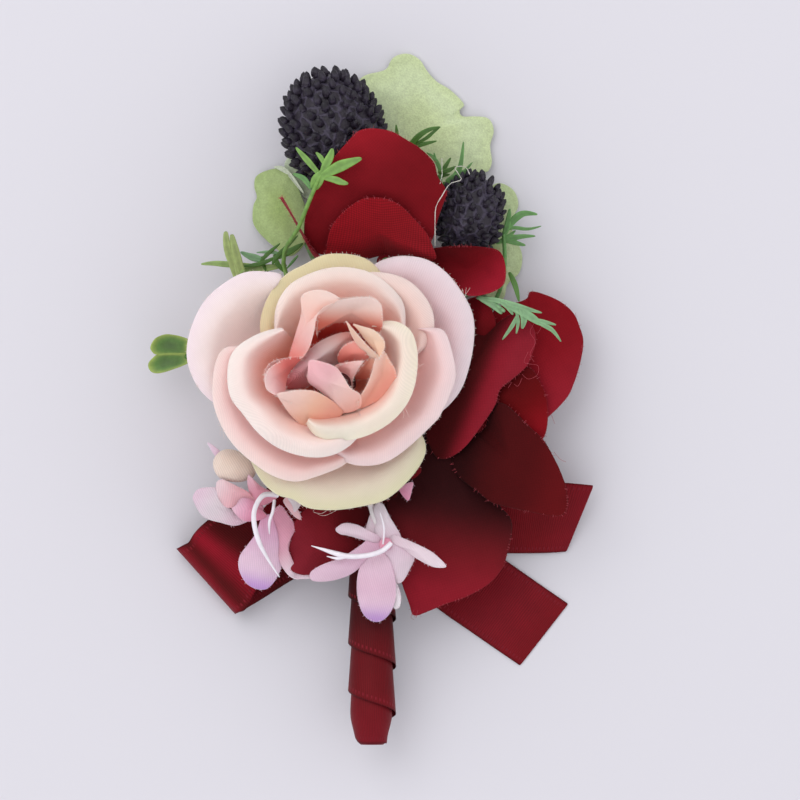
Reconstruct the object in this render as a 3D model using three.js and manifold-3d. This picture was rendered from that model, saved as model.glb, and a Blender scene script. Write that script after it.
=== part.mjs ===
// A flower spray for a lapel: a cloth rose over dark red petals, two thorny berries, ferns, felt
// leaves and small pink flowers, wired into one stem that a ribbon winds round, with a ribbon bow
// behind it and a bar pin under the stem.
// Millimetres. The spray lies on its back: +Z up from the table, +Y towards the berries.
import * as THREE from 'three'
import Module from 'manifold-3d'
import { mergeVertices } from 'three/addons/utils/BufferGeometryUtils.js'

const wasm = await Module()
wasm.setup()

// Driving dimensions of the whole spray.
const sprayLength = 131
const clearance = 0.3
const weldDistance = 0.0001
const overrun = 1

// Wires and their stem.
const wireRadius = 0.55
const boreDepth = 4
const tapeThickness = 0.3
const ribbonWidth = 15
const wrapThickness = 0.35
const wrapPitch = 9
const wrapLayerGap = 0.45
const wrapLength = 38
const wrapTaper = 1.2
const wrapTaperLength = 6
const tipLip = 1.2
const tipRadius = 2.9
const beadLength = 12
const beadWidth = 15
const beadHeight = 7.6

// Rose.
const roseWidth = 54
const roseHeight = 20
const rosePetalThickness = 0.5
const roseHubRadius = 4
const roseHubThickness = 0.6
const rosePetalLap = 1.2
const rosePetalNeckShare = 0.3
const rosePetalRimShare = 1.22
const rosePostRadius = 1.4
const roseBudRadius = 3.4
const calyxRadius = 5.2
const calyxHeight = 4.4
const sepalLength = 11
const sepalWidth = 5

// Berries.
const bigBerryLength = 24
const bigBerryWidth = 19.6
const smallBerryLength = 16
const smallBerryWidth = 12.8
const thornHeight = 1.1

// Leaves, florets and small flowers.
const feltThickness = 0.6
const leafWave = 0.4
const petalThickness = 0.5
const petalSwell = 1
const petalNarrow = 14
const petalSliver = 8
const petalTaperShare = 0.3
const petalRootShare = 0.75
const floretHubRadius = 2
const floretHubThickness = 0.9
const floretEyeRadius = 0.9
const fernStalkRadius = 0.5
const fernTwigWidth = 0.5
const fernJointRadius = 0.9
const fernNeedleShare = 0.42
const fernNeedleShares = [0.35, 0.7]
const fernNeedleSpread = 38
const twinLeafWidth = 4.4
const paleBudWidth = 3.4
const smallPetalThickness = 0.4
const smallPetalWide = 8
const smallPetalNarrow = 5
const smallHubRadius = 1.5
const filamentRadius = 0.32
const budWidth = 5.2

// Bow.
const bowThickness = 0.45
const bowFoldRadius = 2.6
const knotLength = 6
const knotWall = 0.5
const knotHeight = 4.6
const bowWaist = 9
const tailHeight = 3.75

// Bar pin.
const barLength = 28
const barWidth = 5
const barThickness = 0.7
const barHoleRadius = 0.9
const needleDrop = 3.2
const needleRadius = 0.45
const needleLength = 24
const needlePoint = 3
const needleEyeRadius = 1.5
const rivetRadius = 0.6
const earThickness = 0.6
const earGap = 0.3
const catchRadius = 1.75
const catchWall = 0.3
const catchLength = 3.2
const catchSlot = 2
const barrelWall = 0.4
const barrelSlot = 1.4
const flangeThickness = 0.4
const flangeRadius = 1.7
const barrelTabLength = 1.1
const tableGap = 0.1

// Places in the spray are read from straight above, as [across, down, height] in pixels of that view.
const middlePixel = [372.5, 398.9]
const pixelShare = 1 / 693
const pixel = sprayLength * pixelShare

function at([across, down, height = 0]) {
  return new THREE.Vector3(
    (across - middlePixel[0]) * pixel,
    (middlePixel[1] - down) * pixel,
    height * pixel
  )
}

// Finishes.
function finish(color, roughness, metalness = 0) {
  return new THREE.MeshStandardMaterial({ color, roughness, metalness })
}

const greenPlastic = finish(0x5c8f4a, 0.6)
const paleFelt = finish(0xbfd09a, 0.95)
const glossyGreen = finish(0x5f9a45, 0.4)
const redCloth = finish(0x7d0f1c, 0.8)
const redSatin = finish(0x6d1020, 0.45)
const blushCloth = finish(0xf3c3bb, 0.85)
const creamCloth = finish(0xf0e3c8, 0.85)
const coralCloth = finish(0xee9f92, 0.85)
const berryPlastic = finish(0x2a2236, 0.45)
const pinkCloth = finish(0xe7b9d0, 0.85)
const whitePlastic = finish(0xf4eef2, 0.45)
const creamFoam = finish(0xefdcc0, 0.8)
const glue = finish(0xe9e4d4, 0.35)
const steel = finish(0xc9ccd0, 0.3, 1)

// Solids.
function signedVolume(positions, corners) {
  const point = (i) => new THREE.Vector3().fromArray(positions, corners[i] * 3)
  let volume = 0
  for (let i = 0; i < corners.length; i += 3) {
    volume += point(i).dot(point(i + 1).cross(point(i + 2))) / 6
  }
  return volume
}

function solid(geometry) {
  const bare = new THREE.BufferGeometry()
  bare.setAttribute('position', geometry.getAttribute('position'))
  bare.setIndex(geometry.getIndex())
  const merged = mergeVertices(bare, weldDistance)
  const positions = merged.getAttribute('position').array
  const source = merged.getIndex().array
  const corners = []
  for (let i = 0; i < source.length; i += 3) {
    const [a, b, c] = source.slice(i, i + 3)
    if (a !== b && b !== c && c !== a) corners.push(a, b, c)
  }
  if (signedVolume(positions, corners) < 0) corners.reverse()
  const mesh = new wasm.Mesh({
    numProp: 3,
    vertProperties: new Float32Array(positions),
    triVerts: new Uint32Array(corners)
  })
  return new wasm.Manifold(mesh)
}

function join(shapes) {
  return shapes.reduce((whole, shape) => whole.add(shape))
}

function cut(shape, tools) {
  return tools.reduce((rest, tool) => rest.subtract(tool), shape)
}

// The outer skin alone, without the slivers and pockets that crossing petals leave.
function outerSkin(shape) {
  const parts = shape.decompose()
  return parts.reduce((largest, part) => part.volume() > largest.volume() ? part : largest)
}

function geometryOf(shape) {
  const { vertProperties, triVerts, numProp } = shape.getMesh()
  const geometry = new THREE.BufferGeometry()
  const positions = []
  for (let i = 0; i < vertProperties.length; i += numProp) {
    positions.push(vertProperties[i], vertProperties[i + 1], vertProperties[i + 2])
  }
  geometry.setAttribute('position', new THREE.Float32BufferAttribute(positions, 3))
  geometry.setIndex(Array.from(triVerts))
  geometry.computeVertexNormals()
  return geometry
}

function piece(name, shape, material) {
  const mesh = new THREE.Mesh(geometryOf(shape), material)
  mesh.name = name
  return mesh
}

// A shell of even thickness about a middle surface, which takes two numbers from -1 to 1.
// The spread lays the grid's points out, as a square or as a disc with a round edge.
function square(u, v) {
  return [u, v]
}

function disc(u, v) {
  return [u * Math.sqrt(1 - v * v / 2), v * Math.sqrt(1 - u * u / 2)]
}

function normalAt(surface, a, b) {
  const step = 0.01
  const along = surface(a + step, b).sub(surface(a - step, b))
  const across = surface(a, b + step).sub(surface(a, b - step))
  return along.cross(across).normalize()
}

function sheet(surface, thickness, columns, rows, spread = square) {
  const points = []
  for (const side of [thickness / 2, -thickness / 2]) {
    for (let j = 0; j <= rows; j++) {
      for (let i = 0; i <= columns; i++) {
        const [a, b] = spread(2 * i / columns - 1, 2 * j / rows - 1)
        const point = surface(a, b).addScaledVector(normalAt(surface, a, b), side)
        points.push(...point.toArray())
      }
    }
  }
  const corner = (side, i, j) => (side * (rows + 1) + j) * (columns + 1) + i
  const faces = []
  const quad = (a, b, c, d) => faces.push(a, b, c, a, c, d)
  for (let j = 0; j < rows; j++) {
    for (let i = 0; i < columns; i++) {
      quad(corner(0, i, j), corner(0, i + 1, j), corner(0, i + 1, j + 1), corner(0, i, j + 1))
      quad(corner(1, i, j + 1), corner(1, i + 1, j + 1), corner(1, i + 1, j), corner(1, i, j))
    }
  }
  for (let i = 0; i < columns; i++) {
    quad(corner(1, i, 0), corner(1, i + 1, 0), corner(0, i + 1, 0), corner(0, i, 0))
    quad(corner(0, i, rows), corner(0, i + 1, rows), corner(1, i + 1, rows), corner(1, i, rows))
  }
  for (let j = 0; j < rows; j++) {
    quad(corner(0, 0, j), corner(0, 0, j + 1), corner(1, 0, j + 1), corner(1, 0, j))
    quad(corner(1, columns, j), corner(1, columns, j + 1), corner(0, columns, j + 1), corner(0, columns, j))
  }
  const geometry = new THREE.BufferGeometry()
  geometry.setAttribute('position', new THREE.Float32BufferAttribute(points, 3))
  geometry.setIndex(faces)
  return geometry
}

// A round rod along a smooth curve through its points.
function rod(points, radius, steps, sides = 5) {
  const section = new THREE.Shape()
  for (let i = 0; i < sides; i++) {
    const turn = 2 * Math.PI * i / sides
    const place = [radius * Math.cos(turn), radius * Math.sin(turn)]
    if (i === 0) section.moveTo(...place)
    else section.lineTo(...place)
  }
  section.closePath()
  const path = new THREE.CatmullRomCurve3(points)
  return solid(new THREE.ExtrudeGeometry(section, { steps, extrudePath: path }))
}

// A turned solid about +Z, from [radius, height] points that start and end on the axis.
function turned(profile, segments = 16) {
  const points = profile.map(([radius, height]) => new THREE.Vector2(radius, height))
  return new THREE.LatheGeometry(points, segments).rotateX(Math.PI / 2)
}

function disk(radius, bottom, top, segments = 16) {
  return turned([[0, bottom], [radius, bottom], [radius, top], [0, top]], segments)
}

function placed(geometry, position, turn = new THREE.Quaternion()) {
  const one = new THREE.Vector3(1, 1, 1)
  return geometry.applyMatrix4(new THREE.Matrix4().compose(position, turn, one))
}

function degrees(angle) {
  return THREE.MathUtils.degToRad(angle)
}

// Least gap between the layers of a wound strip, from points on its middle surface.
function leastGap(surface, thickness, columns, rows, apart) {
  const points = []
  for (let i = 0; i <= columns; i++) {
    for (let j = 0; j <= rows; j++) {
      points.push({ column: i, place: surface(2 * i / columns - 1, 2 * j / rows - 1) })
    }
  }
  let least = Infinity
  for (const one of points) {
    for (const other of points) {
      if (other.column - one.column < apart) continue
      least = Math.min(least, one.place.distanceTo(other.place) - thickness)
    }
  }
  return least
}

// Stem: seven wires side by side, green tape round them, and a ribbon wound over the tape.
// It hangs from the bead of glue where the wires spread.
const needleHeight = tableGap + catchRadius
const barUnderside = needleHeight + needleDrop
const barTop = barUnderside + barThickness
const wirePitch = 2 * wireRadius + clearance
const bundleRadius = wirePitch + wireRadius
const tapeInner = bundleRadius + clearance
const tapeOuter = tapeInner + tapeThickness
const wrapInner = tapeOuter + clearance + wrapThickness / 2
const wrapRise = (wrapThickness + wrapLayerGap) * ribbonWidth / wrapPitch
const wrapOuter = wrapInner + wrapRise + wrapThickness / 2
const glueHeight = knotHeight + clearance + beadHeight / 2
const gluePlace = [372, 478, glueHeight / pixel]
const stemX = at(gluePlace).x
const stemHeight = barTop + clearance + wrapOuter
const tapeTop = at(gluePlace).y - beadLength / 2
const wrapTop = tapeTop - ribbonWidth / 3
const wrapBottom = wrapTop - wrapLength
const wireEnd = wrapBottom + wrapTaperLength
const fanStart = tapeTop - ribbonWidth / 5

function stemPoint(y, angle = 0, radius = 0) {
  const turn = degrees(angle)
  return new THREE.Vector3(stemX + radius * Math.cos(turn), y, stemHeight + radius * Math.sin(turn))
}

function bundled(angle, radius, extra = 0) {
  const ends = [stemPoint(wireEnd, angle, radius), stemPoint(fanStart, angle, radius)]
  return rod(ends, wireRadius + extra, 1)
}

// A wire lies straight in the bundle and then bends away to each place in its branches.
function wire(angle, radius, branches, extra = 0) {
  const route = (place) => Array.isArray(place) ? at(place) : place
  const shapes = [bundled(angle, radius, extra)]
  const start = stemPoint(fanStart - wireRadius, angle, radius)
  const out = stemPoint(tapeTop, angle, radius)
  for (const branch of branches) {
    const places = branch.places.map(route)
    shapes.push(rod(branch.fork ? places : [start, out, ...places], wireRadius + extra, branch.steps))
  }
  return join(shapes)
}

function stemTape() {
  const bottom = wireEnd - clearance
  const profile = [
    [0, bottom - tapeThickness], [tapeOuter, bottom - tapeThickness], [tapeOuter, tapeTop],
    [tapeInner, tapeTop], [tapeInner, bottom], [0, bottom]
  ]
  const points = profile.map(([radius, y]) => new THREE.Vector2(radius, y))
  return solid(new THREE.LatheGeometry(points, 12).translate(stemX, 0, stemHeight))
}

// The ribbon winds down the stem, each turn over the top of the next, and draws in at the tip.
function wrapSurface(u, v) {
  const edgeShare = 0.15
  const drop = wrapLength + ribbonWidth * (1 - 2 * edgeShare)
  const turn = 2 * Math.PI * (u + 1) / 2 * drop / wrapPitch
  const upperEdge = wrapTop + ribbonWidth * (1 - edgeShare) - wrapPitch * turn / (2 * Math.PI)
  const first = Math.max(0, (upperEdge - wrapTop) / ribbonWidth)
  const last = Math.min(1, (upperEdge - wrapBottom) / ribbonWidth)
  const share = first + (last - first) * (v + 1) / 2
  const y = upperEdge - ribbonWidth * share
  const drawIn = THREE.MathUtils.smoothstep(wrapBottom + wrapTaperLength - y, 0, wrapTaperLength)
  const radius = wrapInner + wrapRise * share - wrapTaper * drawIn
  return new THREE.Vector3(stemX + radius * Math.cos(turn), y, stemHeight + radius * Math.sin(turn))
}

function stemWrap() {
  const stepsPerTurn = 10
  const drop = wrapLength + ribbonWidth
  const columns = Math.round(stepsPerTurn * drop / wrapPitch)
  const gap = leastGap(wrapSurface, wrapThickness, columns * 2, 8, stepsPerTurn)
  console.log('least gap between the turns of the stem ribbon:', gap.toFixed(2))
  return solid(sheet(wrapSurface, wrapThickness, columns, 1))
}

function stemTip() {
  const neckTop = wireEnd - 2 * clearance - tapeThickness
  const wrapMouth = wrapInner - wrapThickness / 2 - wrapTaper
  const neckRadius = wrapMouth - clearance
  const lipTop = wrapBottom - clearance
  const profile = [
    [0, lipTop - tipLip], [tipRadius * 0.75, lipTop - tipLip], [tipRadius, lipTop - tipLip / 2],
    [tipRadius, lipTop], [neckRadius, lipTop], [neckRadius, neckTop], [0, neckTop]
  ]
  const points = profile.map(([radius, y]) => new THREE.Vector2(radius, y))
  return solid(new THREE.LatheGeometry(points, 14).translate(stemX, 0, stemHeight))
}

// Rose: a wired bud and five rings of petals on flat hubs, one above the other on the post.
const rosePlace = [331, 381, 94]
const roseTilt = 9
const roseRadius = roseWidth / 2
const hubPitch = roseHubThickness + clearance

const roseRings = [
  { name: 'rose_outer_petals', hubShare: 1, petals: 5, halfAngle: 54, reachShare: 1, riseShare: 0.44,
    dropShare: 0.1, curlShare: 0.04, depthShare: 0.9, start: 160, bow: 1, grid: 4 },
  { name: 'rose_second_petals', hubShare: 1, petals: 5, halfAngle: 55, reachShare: 0.87, riseShare: 0.62,
    dropShare: 0.07, curlShare: 0.04, depthShare: 0.87, start: 124, bow: 1, grid: 4 },
  { name: 'rose_middle_petals', hubShare: 0.95, petals: 5, halfAngle: 56, reachShare: 0.69, riseShare: 0.8,
    dropShare: 0.06, curlShare: 0.05, depthShare: 0.84, start: 150, bow: 1, grid: 4 },
  { name: 'rose_inner_petals', hubShare: 0.85, petals: 5, halfAngle: 58, reachShare: 0.47, riseShare: 0.92,
    dropShare: 0.04, curlShare: 0.05, depthShare: 0.88, start: 112, bow: 0.95, grid: 3 },
  { name: 'rose_heart_petals', hubShare: 0.7, petals: 4, halfAngle: 66, reachShare: 0.27, riseShare: 0.94,
    dropShare: 0, curlShare: 0, depthShare: 0.93, start: 70, bow: 0.9, grid: 3 }
]

function rosePetal(ring, index, level) {
  const innerRadius = roseHubRadius * ring.hubShare * petalRootShare
  const reach = roseRadius * ring.reachShare
  const curl = roseRadius * ring.curlShare
  const middle = degrees(ring.start + index * 360 / ring.petals)
  const spacing = 2 * Math.PI / ring.petals
  const half = degrees(ring.halfAngle)
  const surface = (p, q) => {
    const share = Math.pow(Math.max(0, (p + 1) / 2), 0.85)
    const rise = share * Math.PI / 2
    const rim = THREE.MathUtils.smoothstep(share, 0.72, 1)
    const radius = innerRadius + (reach - curl - innerRadius) * Math.sin(rise) ** ring.bow + curl * rim
    const height = level + roseHeight * (ring.riseShare * (1 - Math.cos(rise)) - ring.dropShare * rim)
    const swing = q * half * (rosePetalNeckShare + (rosePetalRimShare - rosePetalNeckShare) * share)
    const lap = rosePetalLap * share * swing / spacing
    const outward = Math.cos(rise)
    const turn = middle + swing
    const distance = radius + lap * (1 - outward)
    return new THREE.Vector3(
      distance * Math.cos(turn), distance * Math.sin(turn) * ring.depthShare, height - lap * outward
    )
  }
  return solid(sheet(surface, rosePetalThickness, ring.grid, ring.grid, disc))
}

function roseRing(ring, position) {
  const bottom = position * hubPitch
  const level = bottom + roseHubThickness / 2
  const hubRadius = roseHubRadius * ring.hubShare
  const shapes = [solid(disk(hubRadius, bottom, bottom + roseHubThickness, 10))]
  for (let i = 0; i < ring.petals; i++) shapes.push(rosePetal(ring, i, level))
  const bore = solid(disk(rosePostRadius + clearance, bottom - overrun, bottom + roseHeight, 8))
  return outerSkin(cut(join(shapes), [bore]))
}

function roseCore() {
  const postBottom = -calyxHeight
  const budBottom = roseRings.length * hubPitch + clearance
  const budTop = roseHeight * 0.8
  const budRise = budTop - budBottom
  const body = turned([
    [0, postBottom], [rosePostRadius, postBottom], [rosePostRadius, budBottom],
    [roseBudRadius * 0.75, budBottom + budRise * 0.15], [roseBudRadius, budBottom + budRise * 0.45],
    [roseBudRadius * 0.8, budBottom + budRise * 0.75], [roseBudRadius * 0.35, budTop], [0, budTop]
  ], 10)
  const bore = disk(wireRadius + clearance, postBottom - overrun, postBottom + boreDepth, 8)
  return cut(solid(body), [solid(bore)])
}

function roseCalyx() {
  const top = -clearance
  const bottom = -calyxHeight
  const cup = turned([
    [0, bottom], [calyxRadius * 0.5, bottom], [calyxRadius * 0.85, bottom + calyxHeight * 0.35],
    [calyxRadius, top - sepalWidth / 8], [calyxRadius, top], [0, top]
  ], 10)
  const sepals = []
  for (let i = 0; i < 5; i++) {
    const surface = (p, q) => new THREE.Vector3(
      sepalLength * (p + 1) / 2,
      sepalWidth / 2 * q * (1 - 0.3 * p),
      top - calyxHeight * 0.15 - calyxHeight * 0.1 * (p + 1)
    )
    const sepal = sheet(surface, petalThickness, 2, 2, disc).rotateZ(degrees(52 + i * 72))
    sepals.push(solid(sepal))
  }
  const bore = disk(rosePostRadius + clearance, bottom - overrun, top + overrun, 8)
  return cut(join([solid(cup), ...sepals]), [solid(bore)])
}

function roseGroup() {
  const rose = new THREE.Group()
  rose.position.copy(at(rosePlace))
  rose.rotation.y = degrees(roseTilt)
  rose.add(piece('rose_core', roseCore(), coralCloth))
  rose.add(piece('rose_calyx', roseCalyx(), greenPlastic))
  const cloths = [blushCloth, blushCloth, creamCloth, blushCloth, coralCloth]
  roseRings.forEach((ring, i) => rose.add(piece(ring.name, roseRing(ring, i), cloths[i])))
  return rose
}

// Berries: an egg covered with thorns on a lattice of lozenges, each row set between the last.
function berry(length, width, rows, columns) {
  const profile = (share) => width / 2 * Math.sin(Math.PI * share ** 0.85) ** 0.7
  const place = (row, column, lift) => {
    const share = row / rows
    const turn = 2 * Math.PI * column / columns
    const radius = Math.max(0, profile(share) - lift)
    return [radius * Math.cos(turn), radius * Math.sin(turn), length * share]
  }
  const points = []
  const faces = []
  const add = (spot) => {
    points.push(...spot)
    return points.length / 3 - 1
  }
  for (let row = 1; row < rows; row++) {
    for (let i = 0; i < columns; i++) {
      const column = i + (row % 2) / 2
      const bottom = add(place(row - 1, column, thornHeight))
      const left = add(place(row, column - 0.5, thornHeight))
      const right = add(place(row, column + 0.5, thornHeight))
      const top = add(place(row + 1, column, thornHeight))
      const thorn = add(place(row + 0.35, column, 0))
      faces.push(bottom, right, thorn, right, top, thorn, top, left, thorn, left, bottom, thorn)
    }
  }
  const geometry = new THREE.BufferGeometry()
  geometry.setAttribute('position', new THREE.Float32BufferAttribute(points, 3))
  geometry.setIndex(faces)
  const bore = disk(wireRadius + clearance, -overrun, boreDepth, 8)
  return cut(solid(geometry), [solid(bore)])
}

const bigBerryBase = [342, 183, 50]
const bigBerryTip = [324, 63, 70]
const smallBerryBase = [463, 252, 48]
const smallBerryTip = [478, 172, 56]

function berryMesh(name, base, tip, shape) {
  const mesh = piece(name, shape, berryPlastic)
  const axis = at(tip).sub(at(base)).normalize()
  mesh.position.copy(at(base))
  mesh.quaternion.setFromUnitVectors(new THREE.Vector3(0, 0, 1), axis)
  return mesh
}

// Felt leaves, each cut to a lobed outline and laid from its wire down towards the table.
const leafLarge = {
  middle: [432, 130], base: [430, 205, 16], tip: [410, 52, 6],
  outline: [
    [432, 207], [395, 182], [372, 140], [360, 98], [368, 74], [388, 69], [405, 52], [424, 60],
    [444, 90], [463, 107], [466, 114], [483, 116], [494, 132], [489, 150], [494, 166], [482, 184],
    [458, 197]
  ]
}
const leafLeft = {
  middle: [285, 208], base: [310, 252, 26], tip: [262, 168, 8],
  outline: [
    [300, 256], [277, 244], [258, 228], [252, 204], [256, 180], [270, 167], [286, 172], [294, 182],
    [300, 163], [314, 165], [320, 200], [315, 238]
  ]
}
const leafRight = {
  middle: [494, 245], base: [468, 280, 16], tip: [523, 240, 6],
  outline: [
    [462, 270], [470, 230], [484, 195], [500, 182], [515, 190], [518, 205], [510, 222], [517, 238],
    [523, 255], [520, 272], [508, 284], [506, 296], [490, 304], [474, 292]
  ]
}

function leafHeight(leaf, spot) {
  const base = at(leaf.base)
  const run = at(leaf.tip).sub(base)
  const level = new THREE.Vector3(run.x, run.y, 0)
  const share = spot.clone().sub(base).dot(level) / level.lengthSq()
  return base.z + run.z * THREE.MathUtils.clamp(share, -0.2, 1)
}

function leafShape(leaf) {
  const edge = new THREE.CatmullRomCurve3(leaf.outline.map((place) => at(place)), true)
  const middle = at(leaf.middle)
  const surface = (p, q) => {
    const turn = Math.atan2(q, p)
    const reach = Math.hypot(p, q)
    const spot = middle.clone().lerp(edge.getPoint((turn / (2 * Math.PI) + 1) % 1), reach)
    spot.z = leafHeight(leaf, spot) + leafWave * Math.sin(3 * turn) * reach * reach
    return spot
  }
  return solid(sheet(surface, feltThickness, 7, 7, disc))
}

// The place of a wire's axis under a leaf, just clear of the felt.
function underLeaf(leaf, place) {
  const spot = at(place)
  spot.z = leafHeight(leaf, spot) - leafWave - feltThickness / 2 - clearance - wireRadius
  return spot
}

const leafTrunk = [[372, 474, 42], [385, 395, 28], [405, 300, 20]]
const leafWireBranches = [
  { places: [...leafTrunk, underLeaf(leafLarge, [429, 212]), underLeaf(leafLarge, [431, 178])],
    steps: 10 },
  { fork: true, steps: 6,
    places: [leafTrunk[1], [352, 330, 28], underLeaf(leafLeft, [312, 256]), underLeaf(leafLeft, [303, 236])] },
  { fork: true, steps: 6,
    places: [leafTrunk[1], [432, 340, 24], underLeaf(leafRight, [470, 286]), underLeaf(leafRight, [482, 268])] }
]

// Petals run from a hub to the place of their tip and are cut round and broad.
function petal(hub, { tip, width, tilt = 0, droopShare = 0, cupShare = 0 }, thickness, long, wide, hubRadius) {
  const from = at(hub)
  const run = at(tip).sub(from)
  const length = run.length()
  const root = hubRadius * petalRootShare
  const surface = (p, q) => {
    const share = (p + 1) / 2
    return new THREE.Vector3(
      root + (length - root) * share,
      width / 2 * q * (1 + petalTaperShare * p) / (1 + petalTaperShare ** 2 / 2),
      width * cupShare * q * q * share - length * droopShare * share ** 3
    )
  }
  const turn = new THREE.Quaternion().setFromEuler(new THREE.Euler(
    degrees(tilt), -Math.asin(run.z / length), Math.atan2(run.y, run.x), 'ZYX'
  ))
  return placed(sheet(surface, thickness, long, wide, disc), from, turn)
}

// Dark red florets: petals cut to outlines of places, on a small hub with the wire's eye above it.
const florets = {
  floret_top: {
    hub: [386, 262, 77],
    petals: [
      { middle: [374, 190, 112], swell: petalSwell, outline: [
        [447, 191, 104], [445, 200, 102], [437, 222, 94], [430, 244, 84], [408, 254, 79],
        [393, 255, 77], [386, 254, 77], [379, 255, 77], [350, 256, 79], [318, 254, 82],
        [306, 242, 86], [304, 226, 92], [307, 209, 98], [313, 195, 104], [320, 180, 110],
        [334, 158, 120], [349, 141, 126], [358, 132, 130], [370, 129, 131], [383, 130, 131],
        [394, 133, 130], [406, 140, 127], [419, 148, 122], [429, 157, 118], [435, 165, 114],
        [438, 177, 109]
      ] },
      { middle: [380, 234, 106], swell: petalSwell, outline: [
        [436, 259, 88], [420, 262, 82], [396, 257, 78], [386, 254, 78], [376, 257, 78],
        [350, 262, 82], [328, 256, 90], [327, 245, 98], [330, 231, 106], [336, 220, 113],
        [347, 209, 120], [361, 200, 126], [372, 198, 127], [386, 199, 126], [401, 206, 121],
        [415, 220, 112], [427, 234, 102], [433, 247, 93]
      ] },
      { middle: [466, 270, 76], swell: -petalSwell, outline: [
        [506, 272, 94], [504, 284, 96], [495, 291, 97], [483, 295, 97], [470, 296, 95],
        [456, 290, 90], [440, 282, 82], [414, 272, 77], [394, 266, 77], [394, 258, 77],
        [414, 254, 77], [434, 248, 80], [454, 246, 88], [472, 246, 92], [490, 248, 94],
        [499, 251, 94], [504, 259, 94]
      ] },
      { tip: [283, 200, 77], width: petalSliver, tilt: 80 }
    ]
  },
  floret_middle: {
    hub: [411, 335, 66],
    petals: [
      { middle: [470, 372, 84], swell: petalSwell, outline: [
        [532, 325, 80], [536, 340, 80], [533, 352, 81], [527, 366, 82], [514, 378, 84],
        [500, 390, 84], [495, 406, 84], [478, 431, 82], [463, 449, 80], [446, 459, 78],
        [434, 455, 76], [424, 430, 74], [416, 392, 70], [420, 352, 67], [418, 339, 66],
        [418, 331, 66], [430, 318, 66], [450, 310, 68], [480, 300, 70], [492, 316, 73],
        [512, 314, 78]
      ] },
      { tip: [434, 298, 52], width: petalSliver },
      { tip: [370, 300, 62], width: petalSliver }
    ]
  },
  floret_right: {
    hub: [475, 425, 63],
    petals: [
      { middle: [532, 350, 58], swell: petalSwell, outline: [
        [584, 341, 48], [581, 362, 50], [574, 384, 54], [567, 398, 57], [551, 415, 60],
        [532, 430, 61], [508, 430, 62], [484, 429, 63], [482, 421, 63], [490, 390, 62],
        [492, 340, 59], [503, 316, 56], [518, 302, 52], [527, 298, 50], [531, 291, 48],
        [545, 294, 46], [562, 302, 45], [574, 313, 45], [580, 326, 46]
      ] },
      { middle: [518, 406, 70], swell: petalSwell, outline: [
        [548, 412, 70], [547, 428, 70], [542, 440, 70], [528, 446, 70], [505, 440, 68],
        [484, 429, 64], [482, 420, 64], [492, 404, 69], [502, 386, 72], [520, 368, 74],
        [532, 369, 74], [540, 382, 73], [546, 396, 72]
      ] },
      { middle: [510, 460, 84], swell: petalSwell, outline: [
        [566, 487, 84], [568, 504, 84], [564, 514, 84], [552, 516, 84], [530, 512, 84],
        [511, 508, 83], [492, 503, 81], [478, 492, 79], [458, 476, 74], [452, 460, 71],
        [460, 444, 67], [470, 433, 64], [478, 433, 64], [485, 427, 65], [490, 414, 71],
        [498, 403, 78], [508, 406, 80], [521, 418, 82], [533, 430, 84], [543, 439, 84],
        [552, 454, 85], [560, 470, 85]
      ] },
      { tip: [489, 299, 62], width: petalNarrow }
    ]
  },
  floret_lower: {
    hub: [412, 470, 72],
    petals: [
      { middle: [450, 532, 76], swell: petalSwell, outline: [
        [512, 534, 66], [507, 556, 66], [503, 568, 66], [489, 584, 66], [467, 597, 66],
        [447, 604, 66], [430, 611, 66], [414, 616, 66], [409, 604, 69], [401, 581, 74],
        [393, 552, 81], [386, 524, 82], [388, 500, 78], [398, 484, 73], [406, 478, 72],
        [414, 478, 72], [420, 474, 72], [422, 468, 72], [432, 462, 72], [446, 460, 71],
        [462, 470, 68], [478, 484, 64], [500, 506, 64], [511, 519, 65]
      ] },
      { middle: [336, 526, 82], swell: petalSwell, outline: [
        [405, 477, 72], [394, 500, 76], [384, 520, 81], [362, 530, 84], [344, 546, 80],
        [323, 562, 77], [306, 574, 75], [293, 572, 74], [288, 560, 74], [287, 546, 76],
        [292, 528, 78], [302, 512, 80], [318, 502, 83], [346, 490, 83], [380, 478, 76],
        [404, 471, 72]
      ] }
    ]
  }
}

// A petal cut to an outline of places and swelled over its middle.
function outlinedPetal({ outline, middle, swell }) {
  const edge = new THREE.CatmullRomCurve3(outline.map(at), true)
  const centre = at(middle)
  const surface = (p, q) => {
    const turn = Math.atan2(q, p)
    const reach = Math.hypot(p, q)
    const spot = centre.clone().lerp(edge.getPoint((turn / (2 * Math.PI) + 1) % 1), reach)
    spot.z += swell * (1 - reach * reach)
    return spot
  }
  return sheet(surface, petalThickness, 4, 4, disc)
}

function floret({ hub, petals }) {
  const centre = at(hub)
  const half = floretHubThickness / 2
  const shapes = [solid(disk(floretHubRadius, -half, half, 12).translate(...centre.toArray()))]
  for (const shape of petals) {
    const narrow = () => petal(hub, shape, petalThickness, 4, 4, floretHubRadius)
    shapes.push(solid(shape.outline ? outlinedPetal(shape) : narrow()))
  }
  const bore = disk(wireRadius + clearance, -overrun - half, half + overrun, 8)
  return cut(join(shapes), [solid(bore.translate(...centre.toArray()))])
}

// The last stretch of a wire that stands up through a hub.
function upThrough([across, down, height]) {
  const hub = at([across, down, height])
  const top = floretHubThickness / 2 + clearance + floretEyeRadius
  return [
    hub.clone().setZ(hub.z - boreDepth + wireRadius),
    hub.clone().setZ(hub.z - boreDepth / 3),
    hub.clone().setZ(hub.z + top)
  ]
}

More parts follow.
